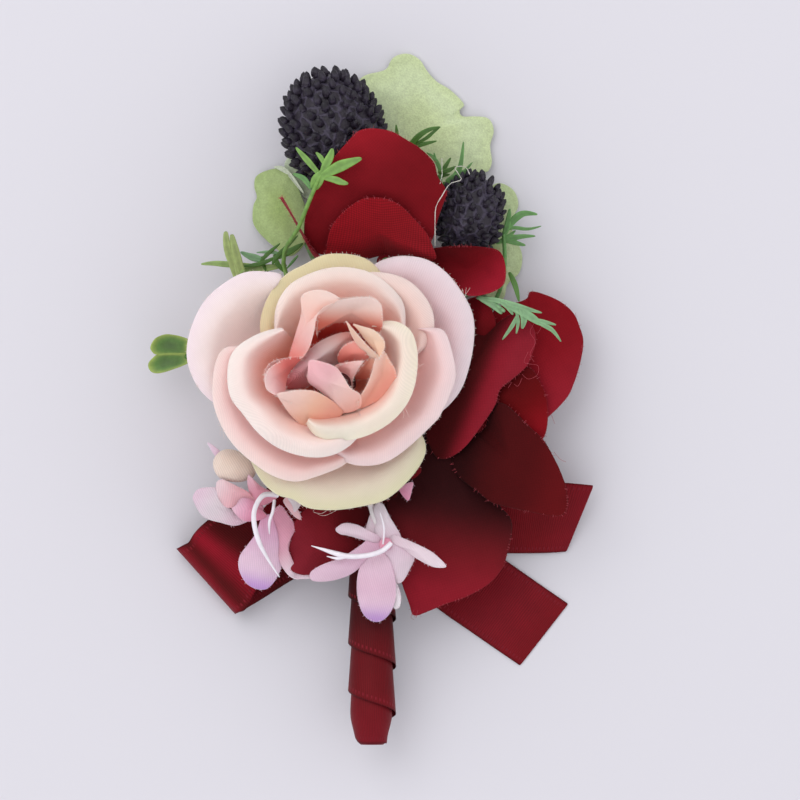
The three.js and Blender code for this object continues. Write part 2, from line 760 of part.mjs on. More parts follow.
const hydrangeaTrunk = [[384, 470, 60], [394, 420, 57], [405, 360, 48]]
const hydrangeaBranches = [
  { places: [...hydrangeaTrunk, ...upThrough(florets.floret_middle.hub)], steps: 11 },
  { fork: true, steps: 7,
    places: [hydrangeaTrunk[2], [395, 300, 54], ...upThrough(florets.floret_top.hub)] },
  { fork: true, steps: 7,
    places: [hydrangeaTrunk[1], [435, 428, 50], ...upThrough(florets.floret_right.hub)] },
  { fork: true, steps: 6,
    places: [hydrangeaTrunk[0], [398, 474, 56], ...upThrough(florets.floret_lower.hub)] }
]

function hydrangeaWire() {
  const eyes = Object.values(florets).map(({ hub }) => {
    const eye = new THREE.SphereGeometry(floretEyeRadius, 6, 4)
    const centre = at(hub)
    centre.z += floretHubThickness / 2 + clearance + floretEyeRadius
    return solid(eye.translate(...centre.toArray()))
  })
  return join([wire(60, wirePitch, hydrangeaBranches), ...eyes])
}

// Fern sprigs: a stalk that ends in twigs, each with pairs of needles.
const ferns = {
  fern_sprig_top: {
    inStem: true, stalk: [[384, 450, 44], [402, 330, 38], [400, 200, 48], [396, 146, 54]],
    tips: [[402, 122, 54], [436, 126, 54], [440, 144, 54]]
  },
  fern_sprig_berry: {
    stalk: [[352, 470, 40], [325, 360, 42], [284, 268, 62], [300, 225, 106], [322, 180, 124]],
    tips: [[297, 152, 126], [317, 149, 128], [333, 152, 130], [360, 160, 134], [348, 184, 134]]
  },
  fern_sprig_middle: {
    stalk: [[382, 466, 36], [408, 330, 34], [424, 230, 40], [436, 172, 44]],
    tips: [[430, 152, 46], [450, 142, 44], [464, 143, 42], [472, 158, 44]]
  },
  fern_sprig_right: {
    stalk: [[394, 470, 32], [450, 380, 34], [500, 290, 34], [512, 232, 36]],
    tips: [[518, 205, 36], [537, 212, 38], [541, 228, 40], [534, 241, 38], [522, 250, 36]]
  },
  fern_sprig_low: {
    stalk: [[392, 482, 40], [430, 390, 44], [448, 316, 52], [474, 293, 76], [505, 312, 98]],
    tips: [[520, 297, 108], [541, 311, 106], [556, 334, 102], [524, 344, 106], [496, 342, 108]]
  },
  fern_sprig_left: {
    stalk: [[346, 478, 36], [310, 360, 38], [268, 276, 46], [250, 266, 50]],
    tips: [[206, 264, 50], [228, 280, 50], [224, 256, 54]]
  }
}

function fernStalk({ inStem, stalk }, extra = 0) {
  const places = stalk.map(at)
  if (inStem) {
    const start = stemPoint(fanStart - wireRadius, 300, wirePitch)
    const out = stemPoint(tapeTop, 300, wirePitch)
    const bent = rod([start, out, ...places], fernStalkRadius + extra, 10, 4)
    return join([bundled(300, wirePitch, extra), bent])
  }
  return rod(extra ? lengthened(places) : places, fernStalkRadius + extra, 6, 4)
}

// A flat frond along +X with pairs of needles that lean forward.
function frond(length) {
  const lean = degrees(fernNeedleSpread)
  const needle = length * fernNeedleShare
  const reach = [needle * Math.cos(lean), needle * Math.sin(lean)]
  const side = []
  for (const share of fernNeedleShares) {
    const root = length * share
    side.push([root, fernTwigWidth / 2], [root + reach[0], fernTwigWidth / 2 + reach[1]])
    side.push([root + 2 * fernTwigWidth, fernTwigWidth / 2])
  }
  const shape = new THREE.Shape()
  shape.moveTo(0, -fernTwigWidth / 2)
  for (const [x, y] of side) shape.lineTo(x, -y)
  shape.lineTo(length, 0)
  for (const [x, y] of side.reverse()) shape.lineTo(x, y)
  shape.lineTo(0, fernTwigWidth / 2)
  const plate = new THREE.ExtrudeGeometry(shape, { depth: fernTwigWidth, bevelEnabled: false })
  return plate.translate(0, 0, -fernTwigWidth / 2)
}

function fernSprig(fern) {
  const centre = at(fern.stalk.at(-1))
  const joint = new THREE.SphereGeometry(fernJointRadius, 6, 4).translate(...centre.toArray())
  const shapes = [fernStalk(fern), solid(joint)]
  for (const tip of fern.tips) {
    const run = at(tip).sub(centre)
    const length = run.length()
    const turn = new THREE.Quaternion().setFromEuler(new THREE.Euler(
      0, -Math.asin(run.z / length), Math.atan2(run.y, run.x), 'ZYX'
    ))
    shapes.push(solid(placed(frond(length), centre, turn)))
  }
  return outerSkin(join(shapes))
}

// Small leaves and buds at the left edge, each on a stalk of its own.
const twinLeaf = {
  stalk: [[346, 478, 48], [280, 410, 50], [215, 364, 56], [184, 356, 60]],
  blades: [
    { tip: [150, 341, 62], width: twinLeafWidth, cupShare: 0.1 },
    { tip: [149, 367, 56], width: twinLeafWidth, cupShare: 0.1 }
  ]
}
const paleBud = {
  stalk: [[352, 464, 50], [296, 350, 50], [252, 286, 60], [241, 270, 64]],
  blades: [
    { tip: [225, 233, 72], width: paleBudWidth, cupShare: 0.3 },
    { tip: [241, 240, 66], width: paleBudWidth, cupShare: 0.2 }
  ]
}

function budStalk({ stalk }, extra = 0) {
  const places = stalk.map(at)
  return rod(extra ? lengthened(places) : places, fernStalkRadius + extra, 8, 4)
}

function leafBud(bud) {
  const hub = bud.stalk.at(-1)
  const blades = bud.blades.map((blade) => solid(petal(hub, blade, petalThickness, 3, 3, 0)))
  return join([budStalk(bud), ...blades])
}

// Small pink flowers, a cream bud and their shared white stalk.
const smallFlowers = {
  filler_flower_left: {
    hub: [258, 510, 72], from: [272, 496, 72],
    petals: [
      { tip: [206, 500, 66], width: smallPetalWide, cupShare: 0.1 },
      { tip: [262, 584, 58], width: smallPetalWide, cupShare: 0.1 },
      { tip: [240, 478, 74], width: smallPetalNarrow, cupShare: 0.1 },
      { tip: [290, 548, 66], width: smallPetalNarrow, cupShare: 0.1 }
    ]
  },
  filler_flower_centre: {
    hub: [382, 543, 94], from: [376, 525, 92],
    petals: [
      { tip: [375, 620, 92], width: smallPetalWide, cupShare: 0.1 },
      { tip: [313, 574, 92], width: smallPetalNarrow, tilt: -25 },
      { tip: [407, 594, 92], width: smallPetalNarrow, tilt: 20 },
      { tip: [443, 563, 96], width: smallPetalNarrow, tilt: 60 },
      { tip: [314, 548, 96], width: smallPetalNarrow, tilt: -60 }
    ]
  }
}
const bud = { hub: [236, 464, 66], tip: [212, 460, 68], from: [252, 467, 64] }
const fillerTrunk = [[362, 478, 64], [350, 462, 64]]

function towards(from, hub, depth) {
  const end = at(hub)
  const axis = end.clone().sub(at(from)).normalize()
  return [end.clone().addScaledVector(axis, -boreDepth), end.clone().addScaledVector(axis, depth)]
}

const flowerLeft = smallFlowers.filler_flower_left
const flowerCentre = smallFlowers.filler_flower_centre
const fillerBranches = [
  { places: [...fillerTrunk, [300, 478, 62], ...towards(flowerLeft.from, flowerLeft.hub, 0)], steps: 11 },
  { fork: true, steps: 8,
    places: [fillerTrunk[1], [354, 452, 78], [362, 476, 90], ...towards(flowerCentre.from, flowerCentre.hub, 0)] },
  { fork: true, steps: 6, places: [[300, 478, 62], ...towards(bud.from, bud.hub, 0)] }
]

// A turned piece whose axis runs through the hub, away from the stalk, with a blind bore behind.
function onStalk({ from, hub }, profile, floor) {
  const axis = at(hub).sub(at(from)).normalize()
  const turn = new THREE.Quaternion().setFromUnitVectors(new THREE.Vector3(0, 0, 1), axis)
  const body = solid(placed(turned(profile, 8), at(hub), turn))
  const back = profile[0][1]
  const bore = disk(wireRadius + clearance, back - overrun, floor, 6)
  return { body, bore: solid(placed(bore, at(hub), turn)) }
}

function smallFlower(flower) {
  const back = -2 * smallHubRadius
  const { body, bore } = onStalk(flower, [
    [0, back], [smallHubRadius * 0.8, back], [smallHubRadius, 0],
    [smallHubRadius * 0.6, smallHubRadius], [0, smallHubRadius]
  ], clearance)
  const petals = flower.petals.map((shape) => solid(petal(flower.hub, shape, smallPetalThickness, 3, 3, 0)))
  return cut(join([body, ...petals]), [bore])
}

function creamBud() {
  const half = budWidth / 2
  const { body, bore } = onStalk(bud, [
    [0, -half], [half * 0.55, -half], [half * 0.95, 0], [half, half * 0.6],
    [half * 0.7, half * 1.3], [half * 0.3, half * 1.6], [0, half * 1.65]
  ], clearance)
  return cut(body, [bore])
}

// White filaments that spring from a small button on the front of each flower.
const stamens = {
  stamens_left: {
    flower: flowerLeft,
    curves: [
      [[250, 516, 92], [262, 548, 90], [282, 578, 78]],
      [[256, 526, 92], [258, 548, 88], [262, 562, 84]],
      [[262, 500, 94], [276, 506, 92], [288, 520, 86]]
    ]
  },
  stamens_centre: {
    flower: flowerCentre,
    curves: [
      [[362, 552, 112], [338, 552, 112], [318, 548, 110]],
      [[376, 560, 112], [352, 568, 110], [334, 566, 108]],
      [[398, 546, 112], [420, 552, 112], [440, 562, 110]]
    ]
  }
}

function stamenCluster({ flower, curves }) {
  const button = at(flower.hub)
  button.z += smallHubRadius + 2 * smallPetalThickness + clearance + filamentRadius
  const shapes = [solid(new THREE.SphereGeometry(filamentRadius * 2, 5, 3).translate(...button.toArray()))]
  for (const curve of curves) shapes.push(rod([button, ...curve.map(at)], filamentRadius, 6, 3))
  return join(shapes)
}

// Hot glue that holds the wires together where they spread, moulded round each of them.

function lengthened(points) {
  const ends = points.map((point) => point.clone())
  const first = ends[0].clone().sub(ends[1]).normalize()
  ends[0].addScaledVector(first, clearance)
  const last = ends.at(-1).clone().sub(ends.at(-2)).normalize()
  ends[ends.length - 1].addScaledVector(last, clearance)
  return ends
}

function glueBead(stalks) {
  const ball = new THREE.SphereGeometry(1, 8, 5).rotateX(Math.PI / 2)
  ball.scale(beadWidth / 2, beadLength / 2, beadHeight / 2)
  const middle = at(gluePlace)
  return outerSkin(cut(solid(ball.translate(...middle.toArray())), stalks))
}

// Bow: one ribbon, with a tail, a loop and a second tail, gathered inside a narrow knot.
const bowMiddle = at([372.5, 505])
const onTable = bowThickness / 2
const underWaist = knotWall + clearance + bowThickness / 2
const overWaist = knotHeight - knotWall - clearance - bowThickness / 2
const foldTop = onTable + 2 * bowFoldRadius
const waistShare = (bowWaist - clearance) / ribbonWidth
const foldPlace = [217, 576]
const foldFrom = [262, 553]

function bowTable() {
  const rows = [
    { place: [544, 636], height: onTable, turn: 52, share: 1 },
    { place: [500, 605], height: onTable, turn: 54, share: 1 },
    { place: [455, 573], height: onTable, turn: 56, share: 1 },
    { place: [422, 545], height: onTable, turn: 62, share: 0.9 },
    { place: [401, 514], height: underWaist, turn: 80, share: 0.7 },
    { place: [387, 506], height: underWaist, turn: 90, share: waistShare },
    { place: [358, 506], height: underWaist, turn: 90, share: waistShare },
    { place: [336, 511], height: underWaist, turn: 100, share: 0.75 },
    { place: [308, 527], height: onTable, turn: 114, share: 0.95 },
    { place: foldFrom, height: onTable, turn: 118, share: 1 }
  ]
  const run = at(foldPlace).sub(at(foldFrom)).normalize()
  for (const angle of [-90, -45, 0, 45, 90]) {
    const turn = degrees(angle)
    const place = at(foldPlace).addScaledVector(run, bowFoldRadius * Math.cos(turn))
    const height = onTable + bowFoldRadius * (1 + Math.sin(turn))
    rows.push({ spot: place, height, turn: 130, share: 1.06 })
  }
  rows.push(
    { place: foldFrom, height: foldTop, turn: 118, share: 1 },
    { place: [310, 527], height: (foldTop + overWaist) / 2, turn: 112, share: 0.95 },
    { place: [336, 510], height: overWaist, turn: 100, share: 0.75 },
    { place: [358, 505], height: overWaist, turn: 90, share: waistShare },
    { place: [387, 505], height: overWaist, turn: 90, share: waistShare },
    { place: [410, 508], height: overWaist, turn: 88, share: 0.75, tilt: 4 },
    { place: [450, 513], height: overWaist, turn: 86, share: 1, tilt: 14 },
    { place: [500, 517], height: tailHeight, turn: 85, share: 1, tilt: 20 },
    { place: [545, 518], height: tailHeight, turn: 80, share: 1, tilt: 22 },
    { place: [581, 519], height: tailHeight, turn: 68, share: 1, tilt: 24 }
  )
  return rows
}

const bowRows = bowTable()
const bowLine = new THREE.CatmullRomCurve3(bowRows.map((row) => {
  const spot = row.spot ?? at(row.place)
  return new THREE.Vector3(spot.x, spot.y, row.height)
}))
const bowTwist = new THREE.CatmullRomCurve3(bowRows.map((row) => {
  return new THREE.Vector3(row.turn, row.tilt ?? 0, row.share)
}), false, 'catmullrom', 0.4)

function bowSurface(u, v) {
  const share = THREE.MathUtils.clamp((u + 1) / 2, 0, 1)
  const spot = bowLine.getPoint(share)
  spot.z = Math.max(spot.z, onTable)
  const { x: turn, y: tilt, z: width } = bowTwist.getPoint(share)
  const level = Math.cos(degrees(tilt))
  const across = new THREE.Vector3(
    level * Math.cos(degrees(turn)), level * Math.sin(degrees(turn)), Math.sin(degrees(tilt))
  )
  return spot.addScaledVector(across, v * width * ribbonWidth / 2)
}

function ribbonBow() {
  const gap = leastGap(bowSurface, bowThickness, 120, 6, 24)
  console.log('least gap between the layers of the bow:', gap.toFixed(2))
  return solid(sheet(bowSurface, bowThickness, 48, 1))
}

function roundedBox(width, height, corner) {
  const shape = new THREE.Shape()
  const x = width / 2 - corner
  const y = height / 2 - corner
  shape.absarc(x, y, corner, 0, Math.PI / 2)
  shape.absarc(-x, y, corner, Math.PI / 2, Math.PI)
  shape.absarc(-x, -y, corner, Math.PI, Math.PI * 1.5)
  shape.absarc(x, -y, corner, Math.PI * 1.5, Math.PI * 2)
  return shape
}

function ribbonKnot() {
  const inner = bowWaist + 2 * clearance
  const corner = knotHeight / 5
  const shape = roundedBox(inner + 2 * knotWall, knotHeight, corner)
  shape.holes.push(roundedBox(inner, knotHeight - 2 * knotWall, corner - knotWall))
  const ring = new THREE.ExtrudeGeometry(shape, { depth: knotLength, bevelEnabled: false, curveSegments: 2 })
  ring.translate(0, 0, -knotLength / 2).rotateX(Math.PI / 2).rotateZ(Math.PI / 2)
  return solid(ring.translate(bowMiddle.x, bowMiddle.y, knotHeight / 2))
}

// Bar pin: a flat bar under the stem, a sprung needle on a rivet, and a safety catch.
const pinMiddle = (wrapTop + wrapBottom) / 2
const pivotY = barLength / 2 - needleEyeRadius
const catchY = -barLength / 2 + catchLength
const earInner = needleRadius + earGap
const rivetHole = rivetRadius + clearance
const barrelOuter = catchRadius - catchWall - clearance
const barrelInner = barrelOuter - barrelWall
const barrelLength = catchLength + 2 * clearance + 2 * flangeThickness
const earOuter = earInner + earThickness

// Solids turned about the pin's long axis, which runs along Y, and about X.
function alongY(radius, length, segments = 12) {
  return new THREE.CylinderGeometry(radius, radius, length, segments)
}

function alongX(radius, length, segments = 12) {
  return new THREE.CylinderGeometry(radius, radius, length, segments).rotateZ(Math.PI / 2)
}

function block(width, length, height) {
  return new THREE.BoxGeometry(width, length, height)
}

function pinEar(side) {
  const lug = solid(alongX(needleEyeRadius, earThickness).translate(0, pivotY, needleHeight))
  const height = barUnderside - needleHeight + barThickness / 2
  const web = block(earThickness, 2 * needleEyeRadius, height)
  const whole = lug.add(solid(web.translate(0, pivotY, needleHeight + height / 2)))
  return whole.translate([side * (earInner + earThickness / 2), 0, 0])
}

function catchHousing() {
  const outside = solid(alongY(catchRadius, catchLength).translate(0, catchY, needleHeight))
  const inside = solid(alongY(catchRadius - catchWall, catchLength + overrun).translate(0, catchY, needleHeight))
  const slot = block(catchSlot, catchLength + overrun, catchRadius + overrun)
  slot.translate(0, catchY, needleHeight - (catchRadius + overrun) / 2)
  const postHeight = barUnderside - needleHeight - catchRadius + catchWall / 2 + barThickness / 2
  const post = block(catchRadius, catchLength, postHeight)
  post.translate(0, catchY, barUnderside + barThickness / 2 - postHeight / 2)
  return cut(outside.add(solid(post)), [inside, solid(slot)])
}

function pinBar() {
  const shape = roundedBox(barWidth, barLength, barWidth / 2)
  for (const y of [-barLength / 4, barLength / 4]) {
    const hole = new THREE.Path()
    hole.absarc(0, y, barHoleRadius, 0, 2 * Math.PI)
    shape.holes.push(hole)
  }
  const plate = new THREE.ExtrudeGeometry(shape, {
    depth: barThickness, bevelEnabled: false, curveSegments: 4
  })
  const whole = join([
    solid(plate.translate(0, 0, barUnderside)), pinEar(-1), pinEar(1), catchHousing()
  ])
  const hole = alongX(rivetHole, 2 * earOuter + overrun).translate(0, pivotY, needleHeight)
  return cut(whole, [solid(hole)])
}

function pinRivet() {
  const half = earOuter + clearance
  const shapes = [solid(alongX(rivetRadius, 2 * half + earThickness))]
  for (const side of [-1, 1]) {
    const head = alongX(rivetHole + clearance, earThickness * 0.7)
    shapes.push(solid(head.translate(side * (half + earThickness * 0.35), 0, 0)))
  }
  return join(shapes).translate([0, pivotY, needleHeight])
}

function pinNeedle() {
  const shaftLength = needleLength - needlePoint
  const shaft = alongY(needleRadius, shaftLength, 10).translate(0, -shaftLength / 2, 0)
  const point = new THREE.ConeGeometry(needleRadius, needlePoint, 10).rotateX(Math.PI)
  point.translate(0, -shaftLength - needlePoint / 2, 0)
  const eye = solid(alongX(needleEyeRadius, 2 * needleRadius, 14))
  const hole = solid(alongX(rivetHole, 2 * needleRadius + overrun, 12))
  return cut(join([eye, solid(shaft), solid(point)]), [hole]).translate([0, pivotY, needleHeight])
}

function safetyBarrel() {
  const tube = solid(alongY(barrelOuter, barrelLength))
  const flangeY = (barrelLength - flangeThickness) / 2
  const shapes = [tube]
  for (const side of [-1, 1]) {
    shapes.push(solid(alongY(flangeRadius, flangeThickness).translate(0, side * flangeY, 0)))
  }
  const reach = flangeRadius + barrelTabLength
  const tab = block(reach - barrelInner, flangeThickness, flangeThickness * 2)
  tab.translate((reach + barrelInner) / 2, -flangeY, 0).rotateY(degrees(-30))
  shapes.push(solid(tab))
  const bore = solid(alongY(barrelInner, barrelLength + overrun))
  const slot = block(barrelSlot, barrelLength + overrun, catchRadius + overrun)
  slot.translate(0, 0, -(catchRadius + overrun) / 2)
  return cut(join(shapes), [bore, solid(slot)]).translate([0, catchY, needleHeight])
}

function barPin() {
  const pin = new THREE.Group()
  pin.position.set(stemX, pinMiddle, 0)
  pin.add(piece('pin_bar', pinBar(), steel))
  pin.add(piece('pin_rivet', pinRivet(), steel))
  pin.add(piece('pin_needle', pinNeedle(), steel))
  pin.add(piece('pin_safety_barrel', safetyBarrel(), steel))
  return pin
}

// Wires, each from its own place in the stem to the piece it carries.
function onAxis(position, axis, distances) {
  return distances.map((distance) => position.clone().addScaledVector(axis, distance))
}

function berryAxis(base, tip) {
  return at(tip).sub(at(base)).normalize()
}

const roseAxis = new THREE.Vector3(Math.sin(degrees(roseTilt)), 0, Math.cos(degrees(roseTilt)))
const roseSeat = [-calyxHeight - boreDepth / 2, -calyxHeight, -calyxHeight + boreDepth - clearance]
const berrySeat = [-boreDepth, 0, boreDepth - clearance]

const wires = [
  { name: 'rose_wire', angle: 0, radius: 0, branches: [{
    places: [[364, 470, 57], [343, 410, 55], ...onAxis(at(rosePlace), roseAxis, roseSeat)],
    steps: 10 }] },
  { name: 'berry_large_wire', angle: 180, radius: wirePitch, branches: [{
    places: [[360, 468, 46], [355, 330, 42],
      ...onAxis(at(bigBerryBase), berryAxis(bigBerryBase, bigBerryTip), berrySeat)],
    steps: 10 }] },
  { name: 'berry_small_wire', angle: 0, radius: wirePitch, branches: [{
    places: [[384, 470, 50], [425, 370, 42],
      ...onAxis(at(smallBerryBase), berryAxis(smallBerryBase, smallBerryTip), berrySeat)],
    steps: 10 }] },
  { name: 'leaf_wire', angle: 240, radius: wirePitch, branches: leafWireBranches },
  { name: 'filler_wire', angle: 120, radius: wirePitch, branches: fillerBranches,
    material: whitePlastic },
  { name: 'hydrangea_wire', angle: 60, radius: wirePitch, branches: hydrangeaBranches,
    whole: hydrangeaWire }
]

function allStalks() {
  return [
    ...wires.map(({ angle, radius, branches }) => wire(angle, radius, branches, clearance)),
    ...Object.values(ferns).map((fern) => fernStalk(fern, clearance)),
    budStalk(twinLeaf, clearance),
    budStalk(paleBud, clearance)
  ]
}

const spray = new THREE.Group()
spray.add(
  piece('stem_tape', stemTape(), greenPlastic),
  piece('stem_ribbon_wrap', stemWrap(), redSatin),
  piece('stem_tip_fold', stemTip(), redSatin),
  piece('glue_bead', glueBead(allStalks()), glue),
  roseGroup(),
  berryMesh('berry_large', bigBerryBase, bigBerryTip, berry(bigBerryLength, bigBerryWidth, 10, 13)),
  berryMesh('berry_small', smallBerryBase, smallBerryTip, berry(smallBerryLength, smallBerryWidth, 8, 10)),
  piece('leaf_large', leafShape(leafLarge), paleFelt),
  piece('leaf_left', leafShape(leafLeft), paleFelt),
  piece('leaf_right', leafShape(leafRight), paleFelt),
  piece('twin_leaf_sprig', leafBud(twinLeaf), glossyGreen),
  piece('pale_leaf_bud', leafBud(paleBud), paleFelt),
  piece('cream_bud', creamBud(), creamFoam),
  piece('ribbon_bow', ribbonBow(), redSatin),
  piece('ribbon_knot', ribbonKnot(), redSatin),
  barPin()
)
for (const { name, angle, radius, branches, whole, material } of wires) {
  const shape = whole ? whole() : wire(angle, radius, branches)
  spray.add(piece(name, shape, material ?? greenPlastic))
}
for (const [name, shape] of Object.entries(florets)) spray.add(piece(name, floret(shape), redCloth))
for (const [name, fern] of Object.entries(ferns)) spray.add(piece(name, fernSprig(fern), greenPlastic))
for (const [name, flower] of Object.entries(smallFlowers)) {
  spray.add(piece(name, smallFlower(flower), pinkCloth))
}
for (const [name, cluster] of Object.entries(stamens)) {
  spray.add(piece(name, stamenCluster(cluster), whitePlastic))
}

export default spray
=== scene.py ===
import bisect
import math
import random

import bmesh
import bpy
from mathutils import Matrix, Vector, noise


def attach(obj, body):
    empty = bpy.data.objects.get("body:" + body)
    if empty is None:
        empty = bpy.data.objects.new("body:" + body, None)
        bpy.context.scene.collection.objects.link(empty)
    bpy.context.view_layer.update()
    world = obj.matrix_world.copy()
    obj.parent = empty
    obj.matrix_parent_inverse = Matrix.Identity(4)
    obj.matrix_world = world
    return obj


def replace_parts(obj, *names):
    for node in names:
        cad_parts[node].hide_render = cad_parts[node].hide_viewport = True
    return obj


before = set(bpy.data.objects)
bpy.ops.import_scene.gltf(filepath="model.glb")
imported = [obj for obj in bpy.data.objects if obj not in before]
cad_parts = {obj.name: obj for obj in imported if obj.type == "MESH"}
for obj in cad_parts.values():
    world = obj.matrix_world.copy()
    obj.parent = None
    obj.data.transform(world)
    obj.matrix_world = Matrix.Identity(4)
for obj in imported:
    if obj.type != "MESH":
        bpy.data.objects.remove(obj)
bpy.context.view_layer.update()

scene = bpy.context.scene


# Table, light and camera. The spray lies face up on a plain pale table under a broad soft light,
# and is seen straight from above. One pixel of that view is 0.189 mm of the object.
PIXEL = 0.131 / 693


def at(across, down, height=0.0):
    """A place on the object, from pixels across and down the view and up from the table."""
    return Vector(((across - 372.5) * PIXEL, (398.9 - down) * PIXEL, height * PIXEL))


def set_inputs(tree, made, inputs):
    for name, value in inputs.items():
        if isinstance(value, bpy.types.NodeSocket):
            tree.links.new(value, made.inputs[name])
        else:
            made.inputs[name].default_value = value


def node(tree, kind, inputs=None, **settings):
    made = tree.nodes.new("ShaderNode" + kind)
    for name, value in settings.items():
        setattr(made, name, value)
    set_inputs(tree, made, inputs or {})
    return made.outputs


def colour(red, green, blue, gain=1.0):
    """A colour as the eye names it, 0 to 255, as the light a shader works with."""
    parts = [min(((part / 255 + 0.055) / 1.055) ** 2.4 * gain, 0.95) for part in (red, green, blue)]
    return (*parts, 1.0)


def new_material(name):
    material = bpy.data.materials.new(name)
    material.use_nodes = True
    tree = material.node_tree
    return material, tree, tree.nodes["Principled BSDF"]


table_card, tree, shader = new_material("table card")
set_inputs(tree, shader, {"Base Color": colour(212, 210, 217), "Roughness": 0.7})
bm = bmesh.new()
bmesh.ops.create_grid(bm, x_segments=1, y_segments=1, size=3)
bmesh.ops.translate(bm, verts=bm.verts, vec=(0, 0, -0.0002))
mesh = bpy.data.meshes.new("table")
bm.to_mesh(mesh)
bm.free()
mesh.materials.append(table_card)
table = bpy.data.objects.new("table", mesh)
scene.collection.objects.link(table)

world = bpy.data.worlds.new("studio")
world.use_nodes = True
backdrop = world.node_tree.nodes["Background"]
set_inputs(world.node_tree, backdrop, {"Color": (0.98, 0.98, 1.0, 1), "Strength": 1.0})
scene.world = world
lamp = bpy.data.lights.new("softbox", "AREA")
lamp.size = 0.9
lamp.energy = 4.0
lamp_object = bpy.data.objects.new("softbox", lamp)
lamp_object.location = (-0.45, 0.5, 1.1)
lamp_object.rotation_euler = (-lamp_object.location).to_track_quat("-Z", "Y").to_euler()
scene.collection.objects.link(lamp_object)
scene.view_settings.view_transform = "Standard"

camera_height = 3.0
sharp_height = 80 * PIXEL
camera = bpy.data.cameras.new("camera")
camera.sensor_width = 36
camera.lens = camera.sensor_width * (camera_height - sharp_height) / (800 * PIXEL)
camera.clip_end = 20
camera_object = bpy.data.objects.new("camera", camera)
camera_object.location = at(400, 400) + Vector((0, 0, camera_height))
scene.collection.objects.link(camera_object)
scene.camera = camera_object


# Bar pin. A steel bar with ears and catch, a rivet, a needle and a rolling barrel, hidden under the
# stem. Rolled and bent from nickelled steel, with a fine uneven grain and slightly dull patches.
def shader_group(name, inputs, output, kind):
    group = bpy.data.node_groups.new(name, "ShaderNodeTree")
    for label, what in inputs.items():
        group.interface.new_socket(label, in_out="INPUT", socket_type="NodeSocket" + what)
    group.interface.new_socket(output, in_out="OUTPUT", socket_type="NodeSocket" + kind)
    return group, group.nodes.new("NodeGroupInput").outputs, group.nodes.new("NodeGroupOutput").inputs


def put_group(tree, group, inputs):
    made = tree.nodes.new("ShaderNodeGroup")
    made.node_tree = group
    set_inputs(tree, made, inputs)
    return made.outputs[0]


def reckon(tree, operation, *values):
    return node(tree, "Math", dict(enumerate(values)), operation=operation)[0]


def ramp(tree, value, start, end, low=0.0, high=1.0):
    """Low up to the start and high from the end on, and an even slope between them."""
    return node(tree, "MapRange", {"Value": value, "From Min": start, "From Max": end,
                                   "To Min": low, "To Max": high})[0]


def dimmed(tree, light, share):
    return node(tree, "VectorMath", {0: light, "Scale": share}, operation="SCALE")[0]


def noisy(tree, place, scale, detail):
    return node(tree, "TexNoise", {"Vector": place, "Scale": scale, "Detail": detail})


def relief(tree, height, distance, strength, **settings):
    inputs = {"Height": height, "Distance": distance, "Strength": strength}
    return node(tree, "Bump", inputs, **settings)["Normal"]


mottle, given, result = shader_group(
    "uneven tone", {"Place": "Vector", "Colour": "Color", "Patch": "Float", "Amount": "Float"},
    "Colour", "Color")
broad = noisy(mottle, given["Place"], given["Patch"], 3.0)["Fac"]
tone = ramp(mottle, broad, 0.3, 0.7, reckon(mottle, "SUBTRACT", 1.0, given["Amount"]), 1.0)
mottle.links.new(dimmed(mottle, given["Colour"], tone), result["Colour"])


def uneven(tree, base, patch, amount):
    """A colour that grows darker by up to an amount, in soft patches; and the place on the piece."""
    place = node(tree, "TexCoord")["Object"]
    return put_group(tree, mottle, {"Place": place, "Colour": base, "Patch": patch, "Amount": amount}), place


def plain_finish(name, base, roughness, patch=400.0, amount=0.25, grain=3000.0, depth=0.00004, **sockets):
    material, tree, shader = new_material(name)
    toned, place = uneven(tree, colour(*base), patch, amount)
    fine = noisy(tree, place, grain, 2.0)["Fac"]
    set_inputs(tree, shader, {"Base Color": toned, "Normal": relief(tree, fine, depth, 0.6),
                              "Roughness": roughness})
    set_inputs(tree, shader, {socket.replace("_", " "): value for socket, value in sockets.items()})
    return material


def finish_nodes(material, *names):
    for name in names:
        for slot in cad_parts[name].material_slots:
            slot.material = material


finish_nodes(plain_finish("drawn steel", (196, 198, 202), 0.28, patch=900, amount=0.18, Metallic=1.0),
             "pin_bar", "pin_rivet", "pin_safety_barrel")
finish_nodes(plain_finish("bright needle", (214, 216, 220), 0.18, patch=1500, amount=0.1, Metallic=1.0),
             "pin_needle")


# Wires and stem tape. Each flower and leaf has a wire in green plastic, the pink flowers one in white.
# A green crepe tape winds round the seven of them where they lie together in the stem.
finish_nodes(plain_finish("green wire plastic", (98, 142, 78), 0.5, patch=300, amount=0.3),
             "rose_wire", "berry_large_wire", "berry_small_wire", "leaf_wire", "hydrangea_wire",
             "rose_calyx")
finish_nodes(plain_finish("crepe tape", (92, 128, 70), 0.75, patch=700, amount=0.35, grain=1800,
                          depth=0.0001), "stem_tape")
finish_nodes(plain_finish("white stalk plastic", (226, 220, 222), 0.45, patch=500, amount=0.15),
             "filler_wire")


# Glue. A bead of hot glue holds the wires where they spread, and thin strings of it were drawn out
# past the small berry when the glue gun was lifted.
hot_glue, tree, shader = new_material("hot glue")
toned, place = uneven(tree, colour(226, 222, 208), 350, 0.15)
set_inputs(tree, shader, {"Base Color": toned, "Roughness": 0.3, "Subsurface Weight": 0.3,
                          "Subsurface Radius": (0.002, 0.002, 0.0015), "Subsurface Scale": 1.0})
finish_nodes(hot_glue, "glue_bead")


